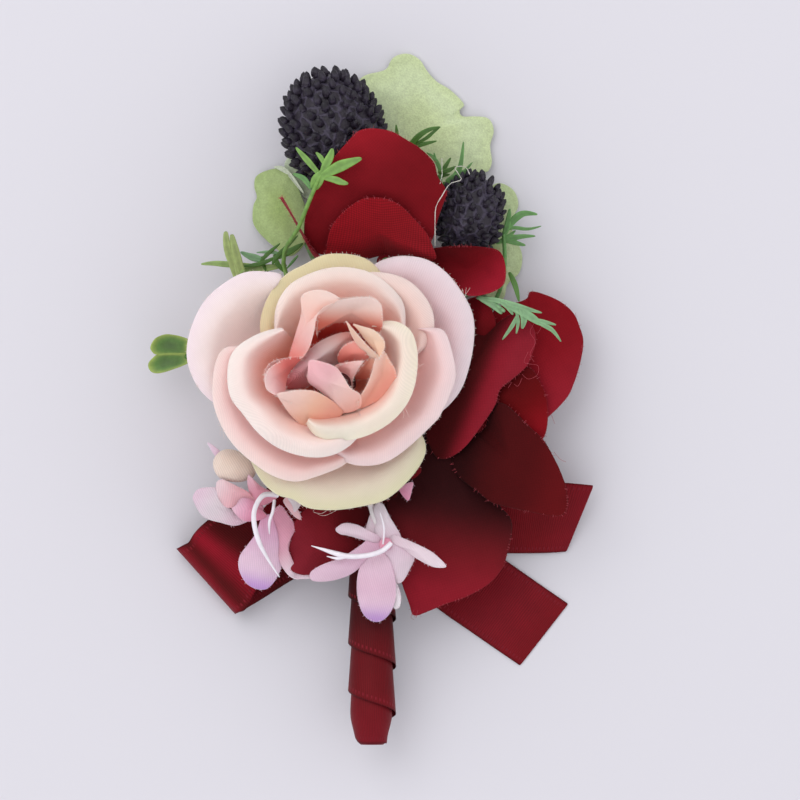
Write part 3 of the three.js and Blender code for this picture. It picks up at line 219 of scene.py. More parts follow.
def along(points, share):
    """The place at a share of the way on a smooth run through the points."""
    spot = min(max(share, 0.0), 1.0) * (len(points) - 1)
    first = min(int(spot), len(points) - 2)
    t = spot - first
    a, b = points[max(first - 1, 0)], points[first]
    c, d = points[first + 1], points[min(first + 2, len(points) - 1)]
    bend, twist = a * 2 - b * 5 + c * 4 - d, b * 3 - a - c * 3 + d
    return (b * 2 + (c - a) * t + bend * t * t + twist * t ** 3) * 0.5


def strand(spots, steps, radius):
    """A line of (place, radius) through spots in pixels; the radius depends on the share of the way."""
    points = [at(*spot) for spot in spots]
    return [(along(points, k / steps), radius(k / steps)) for k in range(steps + 1)]


def strands(name, lines, material):
    """Thin round strands, each a line of (place, radius), as one piece."""
    curve = bpy.data.curves.new(name, "CURVE")
    curve.dimensions = "3D"
    curve.bevel_depth = 1.0
    curve.bevel_resolution = 1
    curve.use_fill_caps = True
    curve.resolution_u = 1
    for line in lines:
        spline = curve.splines.new("POLY")
        spline.points.add(len(line) - 1)
        for point, (place, radius) in zip(spline.points, line):
            point.co = (*place, 1)
            point.radius = radius
    curve.materials.append(material)
    piece = bpy.data.objects.new(name, curve)
    scene.collection.objects.link(piece)
    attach(piece, "spray")
    return piece


glue_spots = [
    [(435, 246, 90), (435, 232, 98), (435, 220, 101), (436, 207, 107), (442, 196, 109), (450, 184, 100),
     (461, 180, 80), (458, 173, 72), (455, 168, 64), (459, 166, 58), (466, 167, 58), (470, 175, 64)],
    [(440, 184, 109), (442, 175, 92), (442, 171, 74), (442, 165, 58), (442, 158, 48)],
]
strands("glue_string", [strand(spots, 30, lambda share: 0.00006 + 0.00004 * math.sin(share * 21) ** 2)
                        for spots in glue_spots], hot_glue)


# Felt leaves. Three pale green leaves, die cut with lobed edges from soft flocked felt, and the
# smaller one at the left with a pale turned-up edge. A wire is glued on behind.
def new_sheet():
    """An empty mesh that keeps the lie of its cloth, in metres, and a tint at each point."""
    bm = bmesh.new()
    bm.loops.layers.uv.new("cloth")
    bm.verts.layers.float_color.new("tint")
    return bm


def paint(bm, verts, tint):
    shade = bm.verts.layers.float_color["tint"]
    for vert in verts:
        vert[shade] = tint


def lay(bm, surface, tint, cells, thickness, turn=0.0, hub=Vector(), flat=None):
    """Adds a sheet: a grid moved onto surface(p, q), with its tint, the lie of its cloth and a thickness."""
    weave, shade = bm.loops.layers.uv["cloth"], bm.verts.layers.float_color["tint"]
    made = bmesh.ops.create_grid(bm, x_segments=cells[0], y_segments=cells[1], size=1)["verts"]
    faces = list({face for vert in made for face in vert.link_faces})
    spin = Matrix.Rotation(turn, 2)
    for vert in made:
        p, q = vert.co.x, vert.co.y
        vert.co = surface(p, q)
        if flat:
            cloth_place = Vector((p * flat[0] / 2, q * flat[1] / 2))
        else:
            away = vert.co - hub
            cloth_place = away.to_2d() * away.length / max(away.to_2d().length, 1e-6)
        for loop in vert.link_loops:
            loop[weave].uv = spin @ cloth_place
        vert[shade] = tint(p, q, vert.co)
    area = sum(face.calc_area() for face in faces)
    bmesh.ops.solidify(bm, geom=faces, thickness=thickness)
    return area


def to_disc(p, q):
    """Moves a place in a square, each way from -1 to 1, into the round disc that fits it."""
    return p * math.sqrt(1 - q * q / 2), q * math.sqrt(1 - p * p / 2)


def tint_steps(tints, strength=1.0, gain=1.0):
    """Steps of colour, with how strongly the weave shows as the fourth number."""
    return [Vector((*colour(*tint, gain)[:3], strength)) for tint in tints]


def from_middle(tints):
    """A tint that changes from the middle of a piece to its rim."""
    steps = tint_steps(tints)
    return lambda p, q, spot: along(steps, math.hypot(*to_disc(p, q)))


def fade(start, end, tints, strength=1.0):
    """A tint that changes along a line from start to end, in pixels across and down."""
    steps, first = tint_steps(tints, strength), at(*start)
    run = at(*end) - first
    return lambda p, q, spot: along(steps, (spot - first).dot(run) / run.length_squared)


def build(name, bm, material, node_name):
    """Makes the piece that takes the place of a plain node, its faces divided once to round it."""
    mesh = bpy.data.meshes.new(name)
    bm.to_mesh(mesh)
    bm.free()
    mesh.polygons.foreach_set("use_smooth", [True] * len(mesh.polygons))
    mesh.materials.append(material)
    piece = bpy.data.objects.new(name, mesh)
    scene.collection.objects.link(piece)
    smooth = piece.modifiers.new("round", "SUBSURF")
    smooth.levels = smooth.render_levels = 1
    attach(piece, "spray")
    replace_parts(piece, node_name)
    return piece


def outlined(outline, middle, swell, ripple, seed):
    """A surface from a middle out to an outline, both in pixels across, down and up."""
    edge = [Vector(spot) for spot in outline]
    loop = [edge[-1], *edge, edge[0], edge[1]]
    centre = Vector(middle)

    def surface(p, q):
        x, y = to_disc(p, q)
        reach = math.hypot(x, y)
        turn = (math.atan2(y, x) / (2 * math.pi)) % 1
        share = (1 + turn * len(edge)) / (len(loop) - 1)
        spot = centre.lerp(along(loop, share), reach)
        spot.z += swell * (1 - reach * reach)
        wave = noise.noise(Vector((spot.x / 26, spot.y / 26, seed * 7.3)))
        fine = noise.noise(Vector((spot.x / 7, spot.y / 7, seed * 3.1)))
        spot.z += ripple * (wave + 0.25 * fine) * (0.4 + reach)
        return at(*spot)

    return surface


felt, tree, shader = new_material("flocked felt")
toned, place = uneven(tree, node(tree, "VertexColor", layer_name="tint")["Color"], 900, 0.14)
flock = noisy(tree, place, 3200.0, 3.0)["Fac"]
flecked = dimmed(tree, toned, ramp(tree, flock, 0.35, 0.65, 0.88, 1.05))
set_inputs(tree, shader, {"Base Color": flecked, "Normal": relief(tree, flock, 0.00012, 0.7),
                          "Roughness": 0.95, "Sheen Weight": 0.3})

# Each lobe: its middle, its outline, and its tints from the middle to the rim.
leaves = {
    "leaf_large": [
        ((430, 130, 12), [(494.5, 131, 8), (491, 143, 9), (491.5, 152, 9), (492.5, 161, 9), (489, 170, 10),
          (482, 174, 11), (458, 198, 14), (432, 206, 16), (397, 184, 14), (374, 142, 10), (360, 98, 7),
          (358, 81, 6), (366, 73, 6), (385, 68, 6), (391, 58, 6), (398, 53, 6), (409, 52, 6), (420, 58, 6),
          (427, 69, 7), (437, 80, 7), (449, 87, 7), (461, 98, 7), (464.5, 104, 7), (460, 109, 8),
          (462.5, 115, 8), (473, 115, 8), (486.5, 116, 8), (492.5, 121.5, 8)],
         [(198, 212, 160), (202, 216, 166), (206, 220, 176), (200, 214, 164)]),
    ],
    "leaf_left": [
        ((280, 206, 16), [(306, 212, 20), (304, 202, 18), (297, 186, 14), (287, 171, 12), (278, 167, 10),
          (264, 170, 8), (255, 176, 8), (253.5, 186, 8), (256, 196, 9), (252.5, 205, 10), (252, 220, 12),
          (256, 229, 14), (263, 237, 17), (272, 245, 20), (290, 256, 24), (306, 240, 23)],
         [(156, 178, 108), (162, 182, 116), (170, 190, 128), (164, 184, 122)]),
        ((300, 176, 9), [(318, 196, 10), (306, 198, 11), (296, 186, 10), (286, 172, 9), (284, 162, 8),
          (290, 154, 8), (298, 150, 8), (308, 160, 8), (316, 176, 9)],
         [(176, 192, 158), (186, 200, 168), (192, 204, 178)]),
        ((291, 176, 14), [(304, 192, 19), (300, 190, 18), (290, 178, 15), (282, 169, 12), (273, 166, 11),
          (282, 165, 12), (292, 174, 15)],
         [(214, 222, 200), (206, 216, 190)]),
    ],
    "leaf_right": [
        ((494, 245, 11), [(523, 255, 6), (520, 272, 8), (508, 284, 10), (504, 298, 14), (490, 304, 16),
          (474, 292, 16), (460, 272, 16), (466, 232, 12), (484, 195, 8), (498, 182, 6), (514, 189, 6),
          (519, 205, 6), (511, 222, 7), (517, 238, 6)],
         [(168, 186, 130), (176, 192, 140), (188, 204, 156), (180, 196, 146)]),
    ],
}
for number, (name, lobes) in enumerate(leaves.items()):
    bm = new_sheet()
    area = 0
    for k, (middle, outline, tints) in enumerate(lobes):
        surface = outlined(outline, middle, 0.5 if k else 4, 0.5 if k else 2.2, number)
        area += lay(bm, surface, from_middle(tints), (26, 26), 0.0005)
    leaf = build(name + "_felt", bm, felt, name)


# Fern sprigs. Small plastic sprigs moulded flat: a thin stalk that divides into slim pointed
# leaflets. The green is painted unevenly over the plastic. Each leaflet is tinted darker along its
# folded midrib, painted shade in the fold, and lighter at its raised edges, painted light.
def stalk(bm, spots, steps, start, end, tint):
    """A closed six-sided rod through spots in pixels, from one radius to another."""
    line = [at(*spot) for spot in spots]
    points = [along(line, k / steps) for k in range(steps + 1)]
    ring = bmesh.ops.create_circle(bm, cap_ends=True, segments=6, radius=1.0)["verts"]
    face = ring[0].link_faces[0]
    side = None
    for index, point in enumerate(points):
        if index:
            grown = bmesh.ops.extrude_face_region(bm, geom=[face])["geom"]
            face = next(item for item in grown if isinstance(item, bmesh.types.BMFace))
        ahead = (points[min(index + 1, steps)] - points[max(index - 1, 0)]).normalized()
        side = (ahead.orthogonal() if side is None else side - ahead * side.dot(ahead)).normalized()
        other = ahead.cross(side)
        radius = start + (end - start) * index / steps
        for k, vert in enumerate(face.verts):
            turn = 2 * math.pi * k / 6
            vert.co = point + (side * math.cos(turn) + other * math.sin(turn)) * radius
        paint(bm, face.verts, tint)


def leaflet(bm, spots, width, tint, root=0.45, blunt=0.5, fold=0.3, thickness=0.0004):
    """A slim leaflet with a folded midrib, along a line of spots in pixels across, down and up."""
    line = [at(*spot) for spot in spots]
    half_width = width * PIXEL / 2
    # The midrib is tinted darker, painted shade in the leaflet's fold, and the edges lighter, painted light.
    edge, rib = Vector(tint) * 1.12, Vector(tint) * 0.8

    def surface(p, q):
        share = (p + 1) / 2
        ahead = along(line, share + 0.06) - along(line, share - 0.06)
        across = Vector((ahead.y, -ahead.x, 0)).normalized()
        grow = root + (1 - root) * math.sin(math.pi / 2 * min(1, share / 0.45))
        half = half_width * grow * max(0.06, min(1, (1 - share) / 0.5)) ** blunt
        return along(line, share) + across * q * half + Vector((0, 0, abs(q) * half * fold))

    length = sum((b - a).length for a, b in zip(line, line[1:]))
    lay(bm, surface, lambda p, q, spot: rib.lerp(edge, min(1, abs(q) * 1.3)), (8, 2), thickness,
        flat=(length, width * PIXEL))


leaf_green, tree, shader = new_material("painted leaf plastic")
toned, place = uneven(tree, node(tree, "VertexColor", layer_name="tint")["Color"], 900, 0.28)
grain = noisy(tree, place, 2600.0, 2.0)["Fac"]
set_inputs(tree, shader, {"Base Color": toned, "Normal": relief(tree, grain, 0.00006, 0.6),
                          "Roughness": 0.5})

grass, moss, apple = colour(70, 116, 34), colour(98, 150, 80), colour(122, 166, 78)
olive, sage = colour(146, 174, 98), colour(128, 172, 124)
# Each sprig: its stalk, the stalk's tint, and for each leaflet its line, width in pixels and tint.
ferns = {
    "fern_sprig_top": ([(384, 450, 44), (402, 330, 38), (400, 200, 48), (396, 146, 54)], grass, [
        ([(398, 142, 53), (397, 133, 55), (396, 124, 56)], 4, grass),
        ([(398, 152, 52), (410, 145, 54), (418, 136, 57), (429, 129, 58), (441, 126.5, 56)], 6.5, grass),
        ([(412, 145, 53), (426, 138, 55), (433, 132, 56), (440, 127, 56)], 4, grass),
        ([(404, 150, 52), (414, 146, 52), (426, 143, 54), (437, 140.5, 54)], 5, grass),
    ]),
    "fern_sprig_berry": ([(352, 470, 40), (325, 360, 42), (284, 268, 62), (300, 225, 106), (316, 186, 124),
         (322, 174, 126)], apple, [
        ([(322, 178, 126), (311, 165, 128), (303, 156, 128), (296, 148, 128)], 6.5, apple),
        ([(325, 166, 130), (321, 158, 130), (316, 153, 129)], 5, apple),
        ([(321, 178, 127), (326, 166, 130), (331, 156, 131), (332.5, 149, 131)], 9, apple),
        ([(320, 178, 127), (336, 169, 132), (348, 164, 135), (362, 159, 136)], 12, apple),
        ([(322, 178, 127), (334, 180, 131), (342, 183, 134), (348.5, 184.5, 135)], 7.5, apple),
        ([(314, 190, 120), (318, 180, 126), (326, 170, 129)], 13, apple),
        ([(312, 190, 116), (304, 179, 112), (293, 174, 108)], 6, moss),
    ]),
    "fern_sprig_middle": ([(382, 466, 36), (408, 330, 34), (424, 230, 40), (440, 178, 44)], moss, [
        ([(441, 182, 44), (440, 168, 46), (434, 157, 47), (426.5, 152, 47)], 4.5, moss),
        ([(436, 162, 46), (435, 157, 47), (434, 152, 48)], 3, moss),
        ([(440, 174, 46), (446, 165, 47), (451, 157, 47)], 4.5, grass),
        ([(446, 184, 46), (456, 174, 47), (461, 164, 48), (463.6, 140.7, 49)], 6, moss),
        ([(460, 174, 47), (467, 168, 48), (472.8, 161.6, 48)], 3, moss),
        ([(446, 182, 46), (456, 177, 47), (468, 169, 47)], 9, moss),
        ([(443, 182, 45), (450, 188, 46), (452, 198, 46)], 6, grass),
        ([(438, 172, 46), (448, 170, 47), (456, 166, 47)], 5, grass),
        ([(438, 190, 44), (446, 191, 45), (450, 202, 45)], 5, moss),
        ([(430, 184, 43), (440, 176, 44), (450, 174, 45)], 5, grass),
    ]),
    "fern_sprig_right": ([(394, 470, 32), (450, 380, 34), (500, 290, 34), (504, 232, 38)], moss, [
        ([(504, 236, 38), (508, 224, 39), (510, 208, 40)], 7, moss),
        ([(503, 234, 38), (511, 223, 39), (519, 215, 40), (527, 212.5, 40), (538, 214, 39)], 8, moss),
        ([(503, 230, 38), (514, 227, 39), (528, 228.8, 39), (542, 225.5, 39)], 4, moss),
        ([(496, 243, 37), (507, 237, 38), (516, 230, 39)], 4.5, moss),
        ([(496, 243, 37), (509, 238.5, 38), (522, 236, 39), (536, 235.6, 38)], 6, moss),
        ([(497, 241, 37), (508, 240, 38), (518, 243, 38), (526, 245, 38)], 6, moss),
    ]),
    "fern_sprig_low": ([(392, 482, 40), (430, 390, 44), (448, 316, 52), (474, 293, 76),
         (505, 312, 98)], sage, [
        ([(476, 298, 84), (490, 299, 92), (514, 305, 100), (530, 310, 102), (542, 313, 102)], 6, sage),
        ([(506, 306, 98), (522, 312, 101), (535, 320, 102), (541, 325, 102)], 9, sage),
        ([(532, 319, 102), (544, 322, 103), (556, 325, 102)], 4.5, sage),
        ([(532, 320, 102), (545, 326, 103), (553, 331, 103), (561, 342, 100)], 5, sage),
        ([(520, 308, 101), (524, 317, 101), (522, 329, 98)], 8, sage),
        ([(516, 310, 100), (518, 322, 100), (516, 334, 97)], 4, sage),
        ([(518, 314, 100), (512, 326, 99), (502, 340, 96)], 4.5, sage),
        ([(500, 302, 97), (507, 306, 98), (513, 315, 98)], 6, sage),
        ([(478, 297, 86), (492, 304, 92), (502, 314, 96)], 8, sage),
        ([(509, 272, 84), (515, 285, 92), (519, 302, 98)], 6, grass),
    ]),
    "fern_sprig_left": ([(346, 478, 36), (310, 360, 38), (268, 276, 46), (262, 256, 50)], grass, [
        ([(254, 265, 50), (232, 264.5, 51), (214, 263, 51), (200.4, 263.9, 50)], 6.5, olive),
        ([(264, 260, 50), (256, 258, 51), (248.6, 255.7, 51), (240, 251.5, 50)], 8, sage),
        ([(280, 254, 50), (271, 251.8, 51), (256, 252.2, 50)], 4, sage),
        ([(278, 256, 52), (262, 263, 53), (252, 265, 53), (243, 266, 53)], 5, grass),
        ([(260, 262, 52), (268, 253, 53), (280, 243, 53)], 4.5, grass),
        ([(272, 264, 53), (277, 256, 54), (286, 247, 55), (298, 235, 56)], 5, grass),
        ([(283, 252, 54), (290, 242, 55), (297, 236, 56)], 3.5, grass),
        ([(276, 258, 53), (290, 251, 54), (303, 243, 55)], 7, grass),
        ([(274, 254, 53), (277, 263, 53), (284, 272, 52)], 5.5, grass),
        ([(298, 255, 54), (292, 262, 53), (286, 269, 52)], 3, moss),
        ([(243, 269, 47), (262, 268, 48), (287, 265, 48)], 8, olive),
    ]),
}
for name, (spots, tone, leaflets) in ferns.items():
    bm = new_sheet()
    stalk(bm, spots, 24, 0.00055, 0.00045, tone)
    for leaf_spots, width, tint in leaflets:
        leaflet(bm, leaf_spots, width, tint)
    build(name + "_leaflets", bm, leaf_green, name)


# Twin leaf and pale bud. Two little leaf pairs at the left edge, each moulded on its own stalk, with
# rims that are paler than the middle.
bm = new_sheet()
stalk(bm, [(346, 478, 48), (280, 410, 50), (215, 364, 56), (184, 356, 58)], 20, 0.0006, 0.0006, grass)
twin_tints = [(78, 108, 58), (82, 116, 54), (96, 134, 58), (160, 180, 88)]
for seed, middle, outline in (
    (1, (170, 346, 60), [(189, 340, 61), (188, 348, 59), (187, 355, 58), (172, 355, 59), (157, 355, 61),
      (151, 351, 62), (150, 346, 62), (154, 339, 62), (160, 335.5, 62), (166, 334, 62), (172, 334.5, 62),
      (180, 336, 62)]),
    (2, (168, 362, 57), [(189, 362, 57), (187, 354, 58), (172, 353, 58), (158, 354, 59), (152, 358, 58),
      (148, 363, 57), (148, 368, 56), (151, 372, 56), (157, 373.5, 56), (165, 372, 56), (174, 369, 56),
      (182, 366, 56)]),
):
    lay(bm, outlined(outline, middle, -2, 1.5, seed), from_middle(twin_tints), (16, 16), 0.0006)
build("twin_leaf_blades", bm, leaf_green, "twin_leaf_sprig")

bm = new_sheet()
stalk(bm, [(352, 464, 50), (296, 350, 50), (252, 286, 60), (241, 270, 64)], 20, 0.0006, 0.0009, olive)
for spots, width in (
    ([(238, 280, 63), (232, 262, 66), (227, 247, 69), (225.5, 231, 72)], 9),
    ([(243, 278, 63), (238, 260, 67), (234, 246, 69), (231.5, 234, 70)], 8.5),
    ([(250, 290, 59), (243, 278, 63), (236, 262, 66)], 12),
):
    leaflet(bm, spots, width, colour(158, 176, 108), root=0.8, blunt=0.28, fold=0.45, thickness=0.0006)
build("pale_bud_blades", bm, leaf_green, "pale_leaf_bud")


# Thorny berries. Hard plastic fruits, nearly black with a lilac net on low ridges that is partly a
# violet bloom and partly a painted sheen, moulded all over in short blunt thorns that lean towards the tip.
berry_skin, tree, shader = new_material("berry plastic")
shades = node(tree, "VertexColor", layer_name="tint")
toned, place = uneven(tree, shades["Color"], 500, 0.4)
bent = node(tree, "VectorMath", {0: noisy(tree, place, 700.0, 2.0)["Color"], 1: (0.0011, 0.0011, 0.0011),
                                 2: place}, operation="MULTIPLY_ADD")[0]
cells = node(tree, "TexVoronoi", {"Vector": bent, "Scale": 430.0}, feature="DISTANCE_TO_EDGE")["Distance"]
# The lilac net on the cell ridges: a violet bloom, and a painted sheen where the ridges catch the light.
bloom_and_sheen = reckon(tree, "MULTIPLY", ramp(tree, cells, 0.02, 0.14, 1.0, 0.0), shades["Alpha"])
netted = node(tree, "Mix", {"Factor": bloom_and_sheen, 6: toned, 7: colour(92, 84, 108)}, data_type="RGBA")[2]
rough = reckon(tree, "MULTIPLY_ADD", bloom_and_sheen, 1.6, noisy(tree, place, 1600.0, 3.0)["Fac"])
set_inputs(tree, shader, {"Base Color": netted, "Normal": relief(tree, rough, 0.0003, 0.7),
                          "Roughness": 0.4, "Specular IOR Level": 0.3})


def berry(name, base, tip, length, width, thorns, thorn, seed):
    rng = random.Random(seed)
    bm = new_sheet()
    skin, foot, knob = tint_steps([(46, 40, 50)], 0.4) + tint_steps([(56, 48, 62)], 0.3) + tint_steps([(34, 30, 38)], 0.05)
    golden_turn = math.pi * (3 - math.sqrt(5))

    def radius(share):
        return width / 2 * (1 - abs(2 * min(max(share, 0.002), 0.998) ** 0.9 - 1) ** 2.3) ** 0.52

    body = bmesh.ops.create_uvsphere(bm, u_segments=48, v_segments=32, radius=1.0)["verts"]
    for vert in body:
        share = (vert.co.z + 1) / 2
        side = vert.co.to_2d().to_3d().normalized()
        lump = noise.noise(vert.co * 6) * 0.0004
        rise = Vector((0, 0, length * (0.03 + 0.94 * share)))
        vert.co = side * max(radius(share) - 0.0008 + lump, 0.0) + rise
    paint(bm, body, skin)
    for k in range(thorns):
        share = (k + 0.5 + rng.uniform(-0.5, 0.5)) / thorns
        turn = k * golden_turn + rng.uniform(-0.1, 0.1)
        slope = (radius(share + 0.02) - radius(share - 0.02)) / (length * 0.04)
        round_way = Vector((math.cos(turn), math.sin(turn), 0))
        out = (round_way - Vector((0, 0, slope))).normalized()
        upward = (round_way * slope + Vector((0, 0, 1))).normalized()
        size = thorn * rng.uniform(0.85, 1.15)
        made = bmesh.ops.create_cone(bm, cap_ends=True, segments=8, radius1=size * 1.75, radius2=size * 0.5,
                                     depth=size * 3.4)["verts"]
        paint(bm, made, foot)
        paint(bm, [vert for vert in made if vert.co.z > 0], knob)
        frame_turn = Matrix((out.cross(upward), upward, out)).transposed().to_4x4()
        lean = Matrix.Rotation(math.radians(rng.uniform(-40, -20)), 4, "X")
        spot = round_way * (radius(share) - 0.0002) + Vector((0, 0, length * share))
        bmesh.ops.transform(bm, matrix=Matrix.Translation(spot) @ frame_turn @ lean, verts=made)
    axis = (at(*tip) - at(*base)).to_track_quat("Z", "Y").to_matrix().to_4x4()
    bmesh.ops.transform(bm, matrix=Matrix.Translation(at(*base)) @ axis, verts=bm.verts)
    build(name + "_thorns", bm, berry_skin, name)


berry("berry_large", (348, 184, 50), (317, 72, 70), length=0.0224, width=0.0190,
      thorns=190, thorn=0.00078, seed=5)
berry("berry_small", (461, 253, 48), (480, 173, 56), length=0.0157, width=0.0128,
      thorns=120, thorn=0.00062, seed=9)


# Hydrangea florets. Dark red petals, die cut from stiffened cotton and shaped with a warm iron, in
# four florets with a small disc at the eye. Their cut edges fray into short threads.
weave, given, result = shader_group(
    "cloth weave", {"Place": "Vector", "Threads": "Float", "Twill": "Float"}, "Gap", "Float")
shift = dimmed(weave, noisy(weave, given["Place"], 260.0, 1.0)["Color"], 0.6)
count = dimmed(weave, given["Place"], given["Threads"])
moved = node(weave, "VectorMath", {0: count, 1: shift}, operation="ADD")[0]
split = node(weave, "SeparateXYZ", {0: moved})
angle_x, angle_y = [reckon(weave, "MULTIPLY", split[k], math.pi) for k in (0, 1)]
checks = reckon(weave, "MULTIPLY", reckon(weave, "SINE", angle_x), reckon(weave, "SINE", angle_y))
ribs = reckon(weave, "SINE", reckon(weave, "ADD", angle_x, angle_y))
mixed = node(weave, "Mix", {"Factor": given["Twill"], "A": checks, "B": ribs})[0]
weave.links.new(ramp(weave, mixed, -1.0, 1.0, 1.0, 0.0), result["Gap"])


def cloth(name, threads, twill, depth, contrast, shine=0.3, sheen=0.1, amount=0.1, glow=0.0):
    material, tree, shader = new_material(name)
    shades = node(tree, "VertexColor", layer_name="tint")
    toned, place = uneven(tree, shades["Color"], 260, amount)
    flat = node(tree, "UVMap", uv_map="cloth")["UV"]
    gaps = put_group(tree, weave, {"Place": flat, "Threads": threads, "Twill": twill})
    sunk = reckon(tree, "MULTIPLY", gaps, shades["Alpha"])
    rise = reckon(tree, "MULTIPLY_ADD", noisy(tree, place, 5200.0, 2.0)["Fac"], 0.6, sunk)
    set_inputs(tree, shader, {
        "Base Color": dimmed(tree, toned, ramp(tree, sunk, 0.0, 1.0, 1.0, 1.0 - contrast)),
        "Normal": relief(tree, rise, depth, 1.0, invert=True), "Roughness": 0.8,
        "Specular IOR Level": shine, "Sheen Weight": sheen, "Subsurface Weight": glow,
        "Subsurface Radius": (0.0022, 0.0019, 0.0018), "Subsurface Scale": 1.0,
    })
    return material


def rim_threads(name, rims, material, seed, count, length, radius, loose=()):
    """Frayed threads that start inside a rim and curl out of it, and loose ones along given spots."""
    rng = random.Random(seed)
    lines = []
    inside = 0.0003
    for rim in rims:
        middle = sum(rim, Vector()) / len(rim)
        for _ in range(count):
            share = rng.random()
            root = along(rim, share)
            ahead = (along(rim, share + 0.02) - along(rim, share - 0.02)).normalized()
            out = Vector((ahead.y, -ahead.x, 0)).normalized()
            if out.dot(root - middle) < 0:
                out = -out
            reach = length * rng.uniform(0.25, 1.0) ** 2
            bend = rng.uniform(-0.9, 0.9)
            line = []
            for t in (0, 1 / 3, 2 / 3, 1):
                spot = root - out * inside + out * (reach + inside) * t + ahead * reach * bend * t * t
                spot.z += reach * 0.3 * math.sin(t * 3 + bend)
                line.append((spot, radius * (1 - 0.4 * t)))
            lines.append(line)
    lines += [strand(spots, 6 * len(spots), lambda share: radius * 0.9) for spots in loose]
    return strands(name, lines, material)


def cut_petal(bm, hub, petal, seed, cells=30, thickness=0.00035, ripple=3.0, lean=lambda *spot: spot):
    """A petal cut to an outline and shaped over its middle; gives its area and its rim."""
    middle, swell, turn, run, strength, tints, outline = petal
    outline = [lean(*spot) for spot in outline]
    surface = outlined(outline, lean(*middle), swell, ripple, seed)
    area = lay(bm, surface, fade(*run, tints, strength), (cells, cells), thickness, turn, hub)
    return area, [at(*spot) for spot in outline]


red_cloth = cloth("dark red cotton", 3000, 0.0, 0.00004, 0.5, shine=0.08, sheen=0.03)
